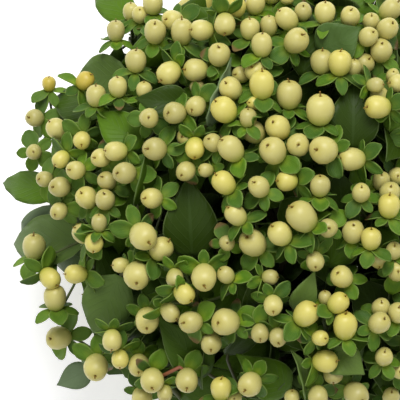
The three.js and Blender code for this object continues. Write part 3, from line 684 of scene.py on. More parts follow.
def ring_count(tree, middle, radius):
    """How many corners of a solid lie on a sphere round a point."""
    found = tree.find_range(middle, radius + MATCH.ring)
    return len({tuple(round(x, 1) for x in co) for co, _, far in found if far > radius - MATCH.ring})


def hang_sprig(sprig, stems, trees):
    """Finds the stem that carries a sprig in the solids, and the line of its branch."""
    near = sorted(stems, key=lambda stem: (stem.tip - sprig.fork).length)[: BRANCH.stems]
    best = 0
    for stem, share in itertools.product(near, BRANCH.shares):
        corners = branch_corners(stem, sprig, share)
        middle = Vector(bezier(corners, 3)[1])
        count = ring_count(trees[stem.index], middle, BRANCH.radius)
        if count > best:
            best = count
            sprig.stem, sprig.line = stem.index, bezier(corners, BRANCH.rows + 1)
            sprig.back = (middle - sprig.fork).normalized()


def leaf_frame(foot, tip, facing, roll):
    """The ways along, across and up from a blade."""
    along = (tip - foot).normalized()
    side = Matrix.Rotation(roll, 3, along) @ along.cross(facing).normalized()
    return along, side, side.cross(along)


def is_grown(tree, foot, tip, width, facing, roll):
    """Whether the solids hold the corners of this blade."""
    along, side, up = leaf_frame(foot, tip, facing, roll)
    length = (tip - foot).length
    found = 0
    for row, share in SOLID_LEAF.rows:
        for across in (-0.5, 0.5):
            height = LEAF.arch * length * row * (1 - row) + math.copysign(LEAF.thick / 2, up.z)
            place = foot + along * (length * row) + side * (across * share * width) + up * height
            place.z = max(place.z, LEAF.thick)
            found += tree.find(place)[2] < MATCH.corner
    return found >= 2


def seen_leaves(sprigs, trees):
    """The leaves that the photograph shows, found in the solids, lifted out of the berries behind them."""
    leaves = []
    eye = Vector((0, 0, PHOTO.eye_height))
    for foot_x, foot_y, tip_x, tip_y, width, depth, roll, tint, lift in SEEN_LEAVES:
        near = on_crown(foot_x, foot_y, depth + LEAF.foot_deeper)
        sprig = min(sprigs, key=lambda sprig: (sprig.fork - near).length)
        shapes = []
        for sink in SOLID_LEAF.sinks:
            foot = on_crown(foot_x, foot_y, depth + sink + LEAF.foot_deeper)
            tip = on_crown(tip_x, tip_y, depth + sink)
            shapes.append((foot, tip, width / PHOTO.pixels_per_mm, Vector((0, 0, 1)), math.radians(roll)))
        deepest = shapes[SOLID_LEAF.sinks.index(max(SOLID_LEAF.sinks))]
        grown = [shape for shape in shapes if is_grown(trees[sprig.stem], *shape)]
        foot, tip, wide, facing, turn = grown[0] if grown else deepest
        foot += (eye - foot).normalized() * (lift * LIFTED.foot)
        tip += (eye - tip).normalized() * lift
        shape = (foot, tip, wide, facing, turn * LIFTED.roll)
        leaves.append(Leaf(sprig.stem, shape, LEAF_TINTS[tint], sprig.fork + sprig.back * PAIR.start))
    return leaves


def paired_leaves(sprigs, trees):
    """The pairs of leaves under the sprigs that the photograph doesn't show."""
    leaves = []
    for index, sprig in enumerate(sprigs):
        for k in (0, 1):
            sideways = towards(frame_across(sprig.outward), FULL_TURN * chance(index, 90) + k * PAIR.angle)
            length = pick(PAIR.length, index, 91 + k)
            foot = sprig.fork + sprig.back * (PAIR.start + PAIR.apart * k)
            long = (sideways * PAIR.sideways + sprig.outward * PAIR.outwards) * length
            tips = [foot + Matrix.Rotation(turn, 3, sprig.outward) @ long for turn in SOLID_LEAF.turns]
            shapes = [(foot, tip, length * LEAF.slender, sprig.outward, 0) for tip in tips]
            grown = [shape for shape in shapes if is_grown(trees[sprig.stem], *shape)]
            if grown:
                leaves.append(Leaf(sprig.stem, grown[0], pick(PAIR.tint, index, 95 + k)))
    return leaves


def inner_leaves(sprigs, stems):
    """The smaller leaves inside the head, round the branches and in pairs along the stems."""
    leaves = []
    index = 0

    def add(stem, foot, way, facing):
        long = way * pick(INNER.length, index, 94)
        if inside_head(foot + long, INNER.within):
            shape = (foot, foot + long, long.length * INNER.slender, facing, 0)
            leaves.append(Leaf(stem, shape, pick(INNER.tint, index, 96), inner=True))

    for sprig in sprigs:
        for k in range(INNER.round_branch):
            index += 1
            foot = Vector(sprig.line[-2 - k])
            angle = FULL_TURN * chance(index, 93) + k * GOLDEN_ANGLE
            sideways = towards(frame_across(sprig.outward), angle)
            way = sideways * INNER.sideways + sprig.outward * INNER.outwards
            add(sprig.stem, foot, way, sprig.outward)
    for stem in stems:
        for y in np.arange(STEM.tie_y + INNER.after_tie, stem.tip.y, INNER.apart):
            foot = stem_point(stem, y)
            heading = (stem_point(stem, y + 1) - foot).normalized()
            for half in (0, math.pi):
                index += 1
                sideways = towards(frame_across(heading), FULL_TURN * chance(stem.index, y) + half)
                add(stem.index, foot, sideways * INNER.off_stem + heading * INNER.up_stem, heading)
    return leaves


def eyes_round_head():
    """Where an eye may stand: over the head as in the photograph, and low down on eight sides."""
    eyes = [Vector((0, 0, PHOTO.eye_height))]
    for turn in np.radians(range(0, 360, 360 // SIDE_EYES.count)):
        eyes.append(Vector((math.sin(turn), -math.cos(turn), SIDE_EYES.low)) * PHOTO.eye_height)
    return eyes


def footholds_of(sprigs, stems):
    """The points of the branches and the stems that a leaf can grow from, each with its stem's number."""
    footholds = [(Vector(point), sprig.stem) for sprig in sprigs for point in sprig.line]
    for stem in stems:
        stops = np.arange(STEM.tie_y + INNER.after_tie, stem.tip.y, CLOSING.step)
        footholds += [(stem_point(stem, y), stem.index) for y in stops]
    return footholds


def closing_leaves(leaves, fruits, footholds, eye):
    """Dark leaves that close the gaps which an eye can look through, found point by point across the head:
    foliage put in as painted shade.
    """
    middle = Vector((HEAD.x, HEAD.y, HEAD.z - CLOSING.below))
    sight = (middle - eye).normalized()
    side, over = frame_across(sight)
    size = Vector((HEAD.across, HEAD.along, HEAD.up))

    def as_seen(spot, radius):
        """A disc's place and radius as the eye sees it, on a plane through the head's middle."""
        away = spot - eye
        nearness = (middle - eye).length / (away @ sight)
        return side @ away * nearness, over @ away * nearness, radius * nearness

    covered = [as_seen(fruit.middle, fruit.radius) for fruit in fruits]
    for leaf in leaves:
        foot, tip, width, facing, roll = leaf.shape
        _, _, up = leaf_frame(foot, tip, facing, roll)
        cover = width * CLOSING.cover * abs(up @ sight)
        covered += [as_seen(foot.lerp(tip, share), cover) for share in CLOSING.covered_at]
    covered = np.array(covered)
    added = []
    steps = np.arange(-CLOSING.within, CLOSING.within, CLOSING.step / HEAD.across)
    for index, (across, along) in enumerate(itertools.product(steps, steps)):
        gap = middle + side * (across * (side * size).length) + over * (along * (over * size).length)
        place = as_seen(gap, 0)
        clear = np.hypot(covered[:, 0] - place[0], covered[:, 1] - place[1]) - covered[:, 2]
        outside = math.hypot(across, along) > CLOSING.within or gap.z < CLOSING.lowest
        in_the_way = in_photo(gap) and gap.z > CLOSING.highest
        if clear.min() < 0 or outside or in_the_way:
            continue
        foot, stem = min(footholds, key=lambda foothold: (foothold[0] - gap).length)
        length = between(CLOSING.shortest, CLOSING.longest, (gap - foot).length * 2)
        width = length * INNER.slender
        shape = (foot, foot + (gap - foot).normalized() * length, width, -sight, 0)
        added.append(Leaf(stem, shape, pick(CLOSING.tint, index, 97), inner=True))
        covered = np.append(covered, [as_seen(gap, width * CLOSING.cover)], axis=0)
    return added


# The plan of the bunch: its stems, sprigs and leaves, and the fruits at their last places.
stems = [make_stem(index) for index in range(STEM.count)]
trees = [corners_of(node) for node in STEM_NODES]
seen, hidden = seen_sprigs(), hidden_sprigs()
sprigs = seen + hidden
for sprig in sprigs:
    hang_sprig(sprig, stems, trees)
leaves = seen_leaves(sprigs, trees) + paired_leaves(hidden, trees) + inner_leaves(sprigs, stems)
fruits = [fruit for sprig in sprigs for fruit in sprig.fruits]
settle(fruits)
footholds = footholds_of(sprigs, stems)
for eye in eyes_round_head():
    leaves += closing_leaves(leaves, fruits, footholds, eye)

# The berries that leaves and sepals bend clear of, numbered like the fruits.
middles = np.array([fruit.middle for fruit in fruits])
radii = np.array([fruit.radius for fruit in fruits])
axes = np.array([fruit.axis for fruit in fruits])


def select_only(*pieces):
    """Selects some pieces and nothing else. The first of them becomes the active one."""
    bpy.ops.object.select_all(action="DESELECT")
    for piece in pieces:
        piece.select_set(True)
    bpy.context.view_layer.objects.active = pieces[0]


def at_place(axis, place, within):
    """A test for corners that lie at a place on an axis, in millimetres, on either side of 0."""

    def is_there(co):
        return abs(abs(co[axis]) / MM - place) < within

    return is_there


def select_where(pattern, tests):
    """Selects the corners of a mesh whose places pass all the tests, ready to be moved."""
    bpy.ops.object.mode_set(mode="EDIT")
    bpy.ops.mesh.select_mode(type="VERT")
    bpy.ops.mesh.select_all(action="DESELECT")
    bpy.ops.object.mode_set(mode="OBJECT")
    for vertex in pattern.data.vertices:
        vertex.select = all(test(vertex.co) for test in tests)
    bpy.ops.object.mode_set(mode="EDIT")


def shift_where(pattern, tests, offset):
    """Moves the corners whose places pass all the tests, by metres."""
    select_where(pattern, tests)
    bpy.ops.transform.translate(value=offset)
    bpy.ops.object.mode_set(mode="OBJECT")


def resize_where(pattern, tests, factors, center):
    """Draws in or out the corners whose places pass all the tests, towards a centre in metres."""
    select_where(pattern, tests)
    bpy.ops.transform.resize(value=factors, center_override=center)
    bpy.ops.object.mode_set(mode="OBJECT")


def finish_pattern(pattern, name):
    """Names a modelled pattern, smooths its shading and takes it out of the scene."""
    pattern.name = name
    select_only(pattern)
    bpy.ops.object.shade_smooth()
    bpy.context.collection.objects.unlink(pattern)
    return pattern


def draw_up(profile, sides):
    """A round body drawn up from a small disc, ring by ring. The profile is radii and heights in mm."""
    first_radius, first_height = profile[0]
    bpy.ops.object.select_all(action="DESELECT")
    bpy.ops.mesh.primitive_circle_add(
        vertices=sides, radius=first_radius * MM, fill_type="NGON", location=(0, 0, first_height * MM)
    )
    bpy.ops.object.transform_apply(location=True)
    bpy.ops.object.mode_set(mode="EDIT")
    bpy.ops.mesh.select_all(action="SELECT")
    for (radius, height), (next_radius, next_height) in zip(profile, profile[1:]):
        rise = (0, 0, (next_height - height) * MM)
        bpy.ops.mesh.extrude_region_move(TRANSFORM_OT_translate={"value": rise})
        factor = next_radius / radius
        bpy.ops.transform.resize(value=(factor, factor, 1), center_override=(0, 0, 0))
    bpy.ops.mesh.select_all(action="SELECT")
    bpy.ops.mesh.normals_make_consistent(inside=False)
    bpy.ops.object.mode_set(mode="OBJECT")
    return bpy.context.object


def lay_sheet(size, cells, middle):
    """A flat sheet of cells, to be drawn out into a sepal or a leaf. Its size and place are in mm."""
    bpy.ops.object.select_all(action="DESELECT")
    bpy.ops.mesh.primitive_grid_add(x_subdivisions=cells[0], y_subdivisions=cells[1], size=1)
    sheet = bpy.context.object
    sheet.scale = (size[0] * MM, size[1] * MM, 1)
    sheet.location = (middle[0] * MM, middle[1] * MM, 0)
    bpy.ops.object.transform_apply(location=True, scale=True)
    return sheet


def set_attribute(piece, name, values):
    """Writes one number for each corner of a mesh, for a material to read."""
    attributes = piece.data.attributes
    attribute = attributes.get(name) or attributes.new(name, "FLOAT", "POINT")
    attribute.data.foreach_set("value", np.asarray(values, np.float32))


def points_of(pattern):
    """The places of a pattern's corners, in millimetres."""
    places = np.empty(len(pattern.data.vertices) * 3, np.float32)
    pattern.data.vertices.foreach_get("co", places)
    return places.reshape(-1, 3).astype(float) / MM


def model_berry(lean):
    """A berry with a dimple at its tip, and the short dried style that stands in it."""
    style = draw_up(STYLE_PROFILE, STYLE.sides)
    shift_where(style, [lambda co: co.z > STYLE.bend_height * MM], (lean * MM, 0, 0))
    set_attribute(style, "up", np.full(len(style.data.vertices), STYLE.mark))
    berry = draw_up(BERRY_PROFILE, BERRY.sides)
    x, y, z = points_of(berry).T
    in_dimple = (z > BERRY.radius) & (np.hypot(x, y) < BERRY.dimple)
    set_attribute(berry, "up", np.where(in_dimple, BERRY.dimple_mark, z / BERRY.radius))
    select_only(berry, style)
    bpy.ops.object.join()
    return finish_pattern(berry, "berry pattern")


def model_sepal(length, width, fall, cup, curl):
    """One sepal: a sheet drawn out to a spoon's outline, falling from its foot, cupped and curled."""
    sepal = lay_sheet((length, width), (SEPAL.rows, SEPAL.columns), (SEPAL.foot + length / 2, 0))
    step = length / SEPAL.rows
    for row, share in enumerate(SEPAL_OUTLINE):
        x = SEPAL.foot + step * row
        on_row = at_place(0, x, step / 4)
        resize_where(sepal, [on_row], (1, share, 1), (x * MM, 0, 0))
        along = row / SEPAL.rows
        shift_where(sepal, [on_row], (0, 0, (curl * along**SEPAL.curl - fall * along) * MM))
        for part in (0.5, 1):
            on_column = at_place(1, part * share * width / 2, SEPAL.nearness)
            shift_where(sepal, [on_row, on_column], (0, 0, SEPAL.cup * cup * share * part * part * MM))
    return sepal


def model_calyx(forms):
    """A star of five sepals, each with its own length, width, fall, cup and curl."""
    sepals = []
    for k, form in enumerate(forms):
        sepal = model_sepal(*form)
        sepal.rotation_euler.z = k * 2 * math.pi / len(forms)
        select_only(sepal)
        bpy.ops.object.transform_apply(rotation=True)
        set_attribute(sepal, "shade", np.full(len(sepal.data.vertices), chance(k, form[0])))
        sepals.append(sepal)
    select_only(*reversed(sepals))
    bpy.ops.object.join()
    return finish_pattern(sepals[-1], "calyx pattern")


def model_blade(fold, wave, rows, columns):
    """A leaf's blade: a sheet drawn out to an egg-shaped outline, folded along its midrib and waved."""
    blade = lay_sheet((BLADE.width, BLADE.length), (columns, rows), (0, BLADE.length / 2))
    step = BLADE.length / rows
    stops = np.linspace(0, 1, len(BLADE_OUTLINE))
    for row in range(rows + 1):
        share = float(np.interp(row / rows, stops, BLADE_OUTLINE))
        on_row = at_place(1, step * row, step / 4)
        for column in range(1, columns // 2 + 1):
            across = column / (columns / 2)
            on_column = at_place(0, across * BLADE.width / 2, BLADE.nearness)
            ripple = wave * across * across * math.sin(row / rows * BLADE.waves + column)
            shift_where(blade, [on_row, on_column], (0, 0, (fold * across * share + ripple) * MM))
        resize_where(blade, [on_row], (share, 1, 1), (0, step * row * MM, 0))
    return finish_pattern(blade, "blade pattern")


def model_rod(sides, rows, name):
    """A round rod drawn up in even steps, to be laid along a stem, a branch or a stalk."""
    step = ROD.length / rows
    rod = draw_up([(ROD.radius, step * row) for row in range(rows + 1)], sides)
    return finish_pattern(rod, name)


# Everything that repeats is modelled here once, and copied below.
berry_patterns = [model_berry(lean) for lean in STYLE.leans]
calyx_patterns = [model_calyx(forms) for forms in SEPAL_FORMS]
blade_patterns = [model_blade(*form, BLADE.rows, BLADE.columns) for form in BLADE.folds_and_waves]
inner_patterns = [
    model_blade(fold, 0, BLADE.inner_rows, BLADE.inner_columns) for fold in BLADE.inner_folds
]
stem_pattern = model_rod(STEM.sides, STEM.rows, "stem pattern")
branch_pattern = model_rod(BRANCH.sides, BRANCH.rows, "branch pattern")
stalk_pattern = model_rod(STALK.sides, len(STALK.thickness) - 1, "stalk pattern")


def copy_of(pattern, places, **marks):
    """A copy of a pattern with its own mesh, its corners at other places, given in millimetres."""
    made = pattern.copy()
    made.data = pattern.data.copy()
    made.data.vertices.foreach_set("co", ((places + np.array(SHIFT)) * MM).ravel())
    for name, value in marks.items():
        set_attribute(made, name, np.broadcast_to(value, len(places)))
    bpy.context.collection.objects.link(made)
    return made


def berries_near(places):
    """The numbers of the berries that may touch a sheet."""
    lowest, highest = places.min(axis=0) - BEND.reach, places.max(axis=0) + BEND.reach
    return np.flatnonzero(((middles > lowest) & (middles < highest)).all(axis=1))


def distance_from(index, places):
    """The way from a berry's middle to each place, and how far that is, less along the berry's length."""
    away = places - middles[index]
    lengthwise = away @ axes[index]
    shortened = away - axes[index] * (lengthwise * BEND.stretch)[:, None]
    return away, np.linalg.norm(shortened, axis=1)


def depth_in_berries(places, own):
    """How deep a sheet lies in the berries round it but its own, all its corners taken together."""
    total = 0
    for index in berries_near(places):
        if index != own:
            _, far = distance_from(index, places)
            total += np.maximum(0, radii[index] * BEND.clear - far).sum()
    return total


def off_table(places, lowest):
    """Lifts places that lie lower than a height to that height."""
    places[:, 2] = np.maximum(places[:, 2], lowest)
    return places


def bent_clear(places, along, own=None):
    """Bends a sheet about its foot, clear of the berries round it, and off the table."""
    for _ in range(BEND.rounds):
        for index in berries_near(places):
            away, far = distance_from(index, places)
            deep = radii[index] * BEND.clear - far
            worst = deep.argmax()
            if index != own and deep[worst] > 0:
                push = away[worst] / far[worst] * deep[worst] * BEND.step
                lever = np.minimum(along / max(along[worst], BEND.foot), BEND.lever)
                places = places + push * lever[:, None]
    for index in berries_near(places):
        away, far = distance_from(index, places)
        clear = radii[index] * (BEND.touch if index != own else 1)
        places = places + away * np.maximum(0, clear / far - 1)[:, None]
    return off_table(places, OFF_TABLE)


def turned(points, axis, spin):
    """Turns points from the z axis to another, after a spin round it."""
    turn = axis.to_track_quat("Z", "Y").to_matrix() @ Matrix.Rotation(spin, 3, "Z")
    return points @ np.array(turn).T


def row_of(pattern, rows):
    """The number of the ring that each corner of a rod belongs to."""
    return np.rint(points_of(pattern)[:, 2] / ROD.length * rows).astype(int)


def laid_along(pattern, line, thickness):
    """The corners of a rod, laid along a line of points, with a thickness at each of them."""
    points = points_of(pattern)
    row = row_of(pattern, len(line) - 1)
    ways = np.gradient(line, axis=0)
    ways /= np.linalg.norm(ways, axis=1, keepdims=True)
    sides = np.empty_like(line)
    side = np.cross(ways[0], ROD.first_side)
    for i, way in enumerate(ways):
        side = side - way * (side @ way)
        side /= np.linalg.norm(side)
        sides[i] = side
    overs = np.cross(ways, sides)
    thickness = np.broadcast_to(thickness, len(line))[row, None]
    return line[row] + (sides[row] * points[:, [0]] + overs[row] * points[:, [1]]) * thickness


def free_share(fruit):
    """How far a fruit stands out at the head's left side, free in the light, from 0 to 1."""
    return between(0, 1, (FREE.start - fruit.middle.x) / FREE.full)


def is_among(fruit, pixels):
    """Whether a fruit stands at one of these pixels of the photograph."""
    spots = [from_photo(*pixel, fruit.middle.z) for pixel in pixels]
    return any((spot - fruit.middle).length < RIPE.nearness for spot in spots)


def ripeness(fruit, index):
    """How far a fruit has ripened, which its skin reads: golden, young and yellow, or from cream to dull,
    and dull as painted shade for the listed berries that lie in shade.
    """
    if is_among(fruit, GOLDEN):
        return RIPE.golden
    if is_among(fruit, YOUNG) or (not fruit.shown and chance(index, 13) > 1 - RIPE.young_share):
        return pick(RIPE.young, index, 8)
    # The listed berries that lie in shade take the dull end of the ramp: painted shade.
    if is_among(fruit, SHADED_BERRIES):
        return RIPE.dull
    small = between(0, 1, (RIPE.large - fruit.radius) / 2)
    return pick(RIPE.cream, index, 8) + RIPE.small * small


def grow_berry(fruit, index, spin):
    """A fruit's berry, a little uneven and squat in its own way."""
    pattern = berry_patterns[index % len(berry_patterns)]
    points = points_of(pattern)
    round_axis = np.cos(3 * np.arctan2(points[:, 1], points[:, 0]))
    up_berry = np.sin(points[:, 2] * 0.3 + 1)
    points[:, :2] *= 1 + (BERRY.lobes * round_axis * up_berry)[:, None]
    squat = np.array([pick(BERRY.width, index, 12), 1, pick(BERRY.height, index, 9)])
    scale = fruit.radius / BERRY.radius
    places = np.array(fruit.middle) + turned(points * scale * squat, fruit.axis, spin)
    return copy_of(pattern, off_table(places, OFF_TABLE), ripe=ripeness(fruit, index))


def grow_calyx(fruit, index, spin):
    """A fruit's calyx, turned to where it lies least in other berries, each sepal then bent clear."""
    pattern = calyx_patterns[int(len(calyx_patterns) * chance(index, 10))]
    points = points_of(pattern)
    along = np.clip((np.hypot(points[:, 0], points[:, 1]) - SEPAL.foot) / SEPAL.reach, 0, 1)
    scale = fruit.radius / BERRY.radius
    free = free_share(fruit)
    spread = CALYX.spread + CALYX.spread_with_size * scale + CALYX.spread_when_free * free
    seat = np.array(fruit.middle - fruit.axis * (CALYX.seat * scale))
    stars = [seat + turned(points * spread, fruit.axis, spin + turn) for turn in CALYX.spins]
    star = min(stars, key=lambda places: depth_in_berries(places, index))
    sheets = zip(np.split(star, SEPAL.count), np.split(along, SEPAL.count))
    star = np.concatenate([bent_clear(sepal, share, index) for sepal, share in sheets])
    # The tint adds painted light to the sepals of fruits that stand free of the head.
    return copy_of(pattern, star, tint=chance(index, 11) + free)


def grow_stalk(fruit, sprig, k):
    """The stalk of a sprig's fruit number k, from a point of the branch near the fork."""
    foot = fruit.middle - fruit.axis * (STALK.end * fruit.radius / BERRY.radius)
    branch_span = max(STALK.shortest_branch, (sprig.fork - Vector(sprig.line[0])).length)
    back = min(0.5, (STALK.start + STALK.apart * k) / branch_span)
    root = Vector(sprig.line[-1]).lerp(Vector(sprig.line[-4]), back * 4)
    bend = min(STALK.bend, (foot - root).length * 0.4)
    corners = [root, root + (foot - root) * 0.3, foot - fruit.axis * bend, foot]
    line = off_table(bezier(corners, len(STALK.thickness)), STALK.lowest)
    return copy_of(stalk_pattern, laid_along(stalk_pattern, line, STALK.thickness), age=STALK.age)


def grow_leaf(leaf, index):
    """A leaf's blade, and its twig where it has one."""
    foot, tip, width, facing, roll = leaf.shape
    along, side, up = (np.array(way) for way in leaf_frame(foot, tip, facing, roll))
    length = (tip - foot).length
    patterns = inner_patterns if leaf.inner else blade_patterns
    pattern = patterns[index % len(patterns)]
    x, y, z = (points_of(pattern) / (BLADE.width, BLADE.length, BLADE.length)).T[:, :, None]
    twist = (chance(index, 31) - 0.5) * (LEAF.twist if leaf.twig is None else LEAF.seen_twist) * y
    across = x * width
    rise = z * length + LEAF.arch * length * y * (1 - y)
    flat = across * np.cos(twist) - (z * length) * np.sin(twist)
    high = rise + across * np.sin(twist)
    places = np.array(foot) + along * y * length + side * flat + up * high
    blade = copy_of(pattern, bent_clear(places, y[:, 0]), tint=leaf.tint)
    if leaf.twig is None:
        return blade, None
    end = foot.lerp(tip, TWIG.end)
    corners = [leaf.twig, leaf.twig.lerp(end, TWIG.leaving), end - (tip - foot) * TWIG.arriving, end]
    line = bezier(corners, len(STALK.thickness))
    return blade, copy_of(stalk_pattern, laid_along(stalk_pattern, line, STALK.radius), age=TWIG.age)


def grow_stem(stem):
    """A woody stem, thickened where its lower leaves were, and cut off a little aslant."""
    stops = np.linspace(stem.cut_y, stem.tip.y, STEM.rows + 1)
    line = np.array([stem_point(stem, y) for y in stops])
    known = (stem.cut_y, STEM.tie_y, stem.tip.y)
    thickness = STEM.radius * np.interp(stops, known, STEM.taper)
    for k in range(SWELLING.count):
        node = stem.cut_y + SWELLING.first + SWELLING.apart * k + SWELLING.uneven * chance(stem.index, k)
        if abs(node - STEM.tie_y) > SWELLING.off_tie:
            thickness += SWELLING.height * np.exp(-(((stops - node) / SWELLING.width) ** 2))
    age = np.interp(stops, known, STEM.ages)
    row = row_of(stem_pattern, STEM.rows)
    places = laid_along(stem_pattern, line, thickness)
    slant = (chance(stem.index, 61) - 0.5) * STEM.slant
    first = row == 0
    places[first, 1] += (places[first, 0] - line[0, 0]) * slant + STEM.radius * abs(slant)
    return copy_of(stem_pattern, places, age=age[row])


def grow_branch(sprig):
    """A side branch, thinner and greener towards its fork."""
    thickness = np.linspace(*BRANCH.taper, len(sprig.line)) * BRANCH.radius
    thickness[-1] *= BRANCH.last_width
    age = np.linspace(*BRANCH.ages, len(sprig.line))
    row = row_of(branch_pattern, BRANCH.rows)
    return copy_of(branch_pattern, laid_along(branch_pattern, sprig.line, thickness), age=age[row])


def grow_seen_twig(sprigs):
    """The reddish twig that the photograph shows, from the fork under it to the fruit that it carries."""
    start, end = (on_crown(*pixel, SEEN_TWIG.depth) for pixel in (SEEN_TWIG.start, SEEN_TWIG.end))
    sprig = min(sprigs, key=lambda sprig: (sprig.fork - start).length)
    fruit = min(sprig.fruits, key=lambda fruit: (fruit.middle - end).length)
    foot = fruit.middle - fruit.axis * fruit.radius
    line = np.array([sprig.fork, start, start.lerp(end, 0.5), end, end.lerp(foot, 0.5), foot])
    places = laid_along(stalk_pattern, line, SEEN_TWIG.thickness)
    return sprig.stem, copy_of(stalk_pattern, places, age=SEEN_TWIG.age)


def new_skin(name):
    """A new material whose node tree holds its output and one shader."""
    material = bpy.data.materials.new(name)
    material.use_nodes = True
    tree = material.node_tree
    tree.nodes.clear()
    output = tree.nodes.new("ShaderNodeOutputMaterial")
    shader = tree.nodes.new("ShaderNodeBsdfPrincipled")
    tree.links.new(shader.outputs["BSDF"], output.inputs["Surface"])
    return material, tree, shader


def set_inputs(shader, values):
    """Sets a shader's own values, by the names of their sockets."""
    for name, value in values.items():
        shader.inputs[name].default_value = value


def read(tree, name):
    """The value of a mesh attribute."""
    node = tree.nodes.new("ShaderNodeAttribute")
    node.attribute_name = name
    return node.outputs["Fac"]


def place_on_sheet(tree):
    """Where a point lies on the sheet that a leaf or a sepal was drawn from, each way from 0 to 1."""
    uv = tree.nodes.new("ShaderNodeUVMap")
    split = tree.nodes.new("ShaderNodeSeparateXYZ")
    tree.links.new(uv.outputs["UV"], split.inputs["Vector"])
    return split.outputs["X"], split.outputs["Y"]


def reckon(tree, operation, first, second=0.0, third=0.0):
    """One step of arithmetic in a material."""
    node = tree.nodes.new("ShaderNodeMath")
    node.operation = operation
    for socket, value in zip(node.inputs, (first, second, third)):
        if isinstance(value, (int, float)):
            socket.default_value = value
        else:
            tree.links.new(value, socket)
    return node.outputs["Value"]


def times(tree, value, factor):
    """One value times another."""
    return reckon(tree, "MULTIPLY", value, factor)


def off_middle(tree, value):
    """How far a value from 0 to 1 is from the middle, 0.5."""
    return reckon(tree, "ABSOLUTE", reckon(tree, "SUBTRACT", value, 0.5))


def ramp(tree, value, stops):
    """Colours along a value, from pairs of position and colour."""
    node = tree.nodes.new("ShaderNodeValToRGB")
    elements = node.color_ramp.elements
    while len(elements) < len(stops):
        elements.new(0.5)
    for element, (position, colour) in zip(elements, stops):
        element.position = position
        element.color = (*colour, 1)
    tree.links.new(value, node.inputs["Fac"])
    return node.outputs["Color"]


def mix(tree, share, first, second, way="MIX"):
    """Two colours mixed by a share."""
    node = tree.nodes.new("ShaderNodeMix")
    node.data_type = "RGBA"
    node.blend_type = way
    for name, value in (("Factor_Float", share), ("A_Color", first), ("B_Color", second)):
        socket = next(socket for socket in node.inputs if socket.identifier == name)
        if isinstance(value, tuple):
            socket.default_value = (*value, 1)
        elif isinstance(value, (int, float)):
            socket.default_value = value
        else:
            tree.links.new(value, socket)
    return next(socket for socket in node.outputs if socket.identifier == "Result_Color")


def noise(tree, scale, detail=3, stretch=(1, 1, 1)):
    """A cloudy value over the piece's own places."""
    places = tree.nodes.new("ShaderNodeTexCoord")
    mapping = tree.nodes.new("ShaderNodeMapping")
    mapping.inputs["Scale"].default_value = stretch
    cloud = tree.nodes.new("ShaderNodeTexNoise")
    cloud.inputs["Scale"].default_value = scale
    cloud.inputs["Detail"].default_value = detail
    tree.links.new(places.outputs["Object"], mapping.inputs["Vector"])
    tree.links.new(mapping.outputs["Vector"], cloud.inputs["Vector"])
    return cloud.outputs["Fac"]


def bump(tree, shader, height, distance, strength):
    """Roughens a surface by a value that stands for its height."""
    node = tree.nodes.new("ShaderNodeBump")
    node.inputs["Distance"].default_value = distance
    node.inputs["Strength"].default_value = strength
    tree.links.new(height, node.inputs["Height"])
    tree.links.new(node.outputs["Normal"], shader.inputs["Normal"])


def berry_skin():
    """A berry: from golden over cream to dull as it ripens, dull too as painted shade where it lies in
    shade, darker by painted shade towards its foot, with an olive dimple and a brown style.
    """
    material, tree, shader = new_skin("berry skin")
    ripe = ramp(tree, read(tree, "ripe"), RIPENING_AND_SHADE)
    dulled = mix(tree, times(tree, noise(tree, scale=160), 0.3), ripe, BERRY_CLOUDS)
    up = reckon(tree, "MULTIPLY_ADD", read(tree, "up"), UP_TO_SHADE.factor, UP_TO_SHADE.start)
    # Darker towards the foot by painted shade, then olive in the dimple and brown on the style.
    colour = mix(tree, 1.0, dulled, ramp(tree, up, BERRY_FOOT_SHADE_AND_TIP), "MULTIPLY")
    tree.links.new(colour, shader.inputs["Base Color"])
    set_inputs(shader, {
        "Roughness": 0.42,
        "Specular IOR Level": 0.5,
        "Subsurface Weight": 0.1,
        "Subsurface Radius": (1, 0.9, 0.5),
        "Subsurface Scale": 0.002,
    })
    bump(tree, shader, noise(tree, scale=900), distance=0.0002, strength=0.12)
    return material


def leaf_veins(tree, count, slope):
    """A value that is high on the midrib and on the veins that leave it towards the tip."""
    across, along = place_on_sheet(tree)
    off = off_middle(tree, across)
    midrib = reckon(tree, "LESS_THAN", off, 0.03)
    drawn = reckon(tree, "SUBTRACT", along, times(tree, off, slope))
    near = off_middle(tree, reckon(tree, "FRACT", times(tree, drawn, count)))
    vein = reckon(tree, "SUBTRACT", 1.0, reckon(tree, "MINIMUM", times(tree, near, 9.0), 1.0))
    return reckon(tree, "MAXIMUM", midrib, vein), off


def leaf_skin(name, greens, vein_colour, vein_share, roughness):
    """A leaf's surface: its own tint of green, with clouds, veins and a thin pale margin."""
    material, tree, shader = new_skin(name)
    veins, off = leaf_veins(tree, count=8.0, slope=0.8)
    darkest = greens[0][1]
    green = ramp(tree, read(tree, "tint"), greens)
    cloudy = mix(tree, times(tree, noise(tree, scale=90), 0.5), green, darkest)
    veined = mix(tree, times(tree, veins, vein_share), cloudy, vein_colour)
    margin = times(tree, reckon(tree, "GREATER_THAN", off, 0.48), 0.4)
    tree.links.new(mix(tree, margin, veined, LEAF_MARGIN), shader.inputs["Base Color"])
    set_inputs(shader, {"Roughness": roughness, "Specular IOR Level": 0.12})
    height = reckon(tree, "MULTIPLY_ADD", noise(tree, scale=500), 0.4, veins)
    bump(tree, shader, height, distance=0.0004, strength=0.35)
    return material


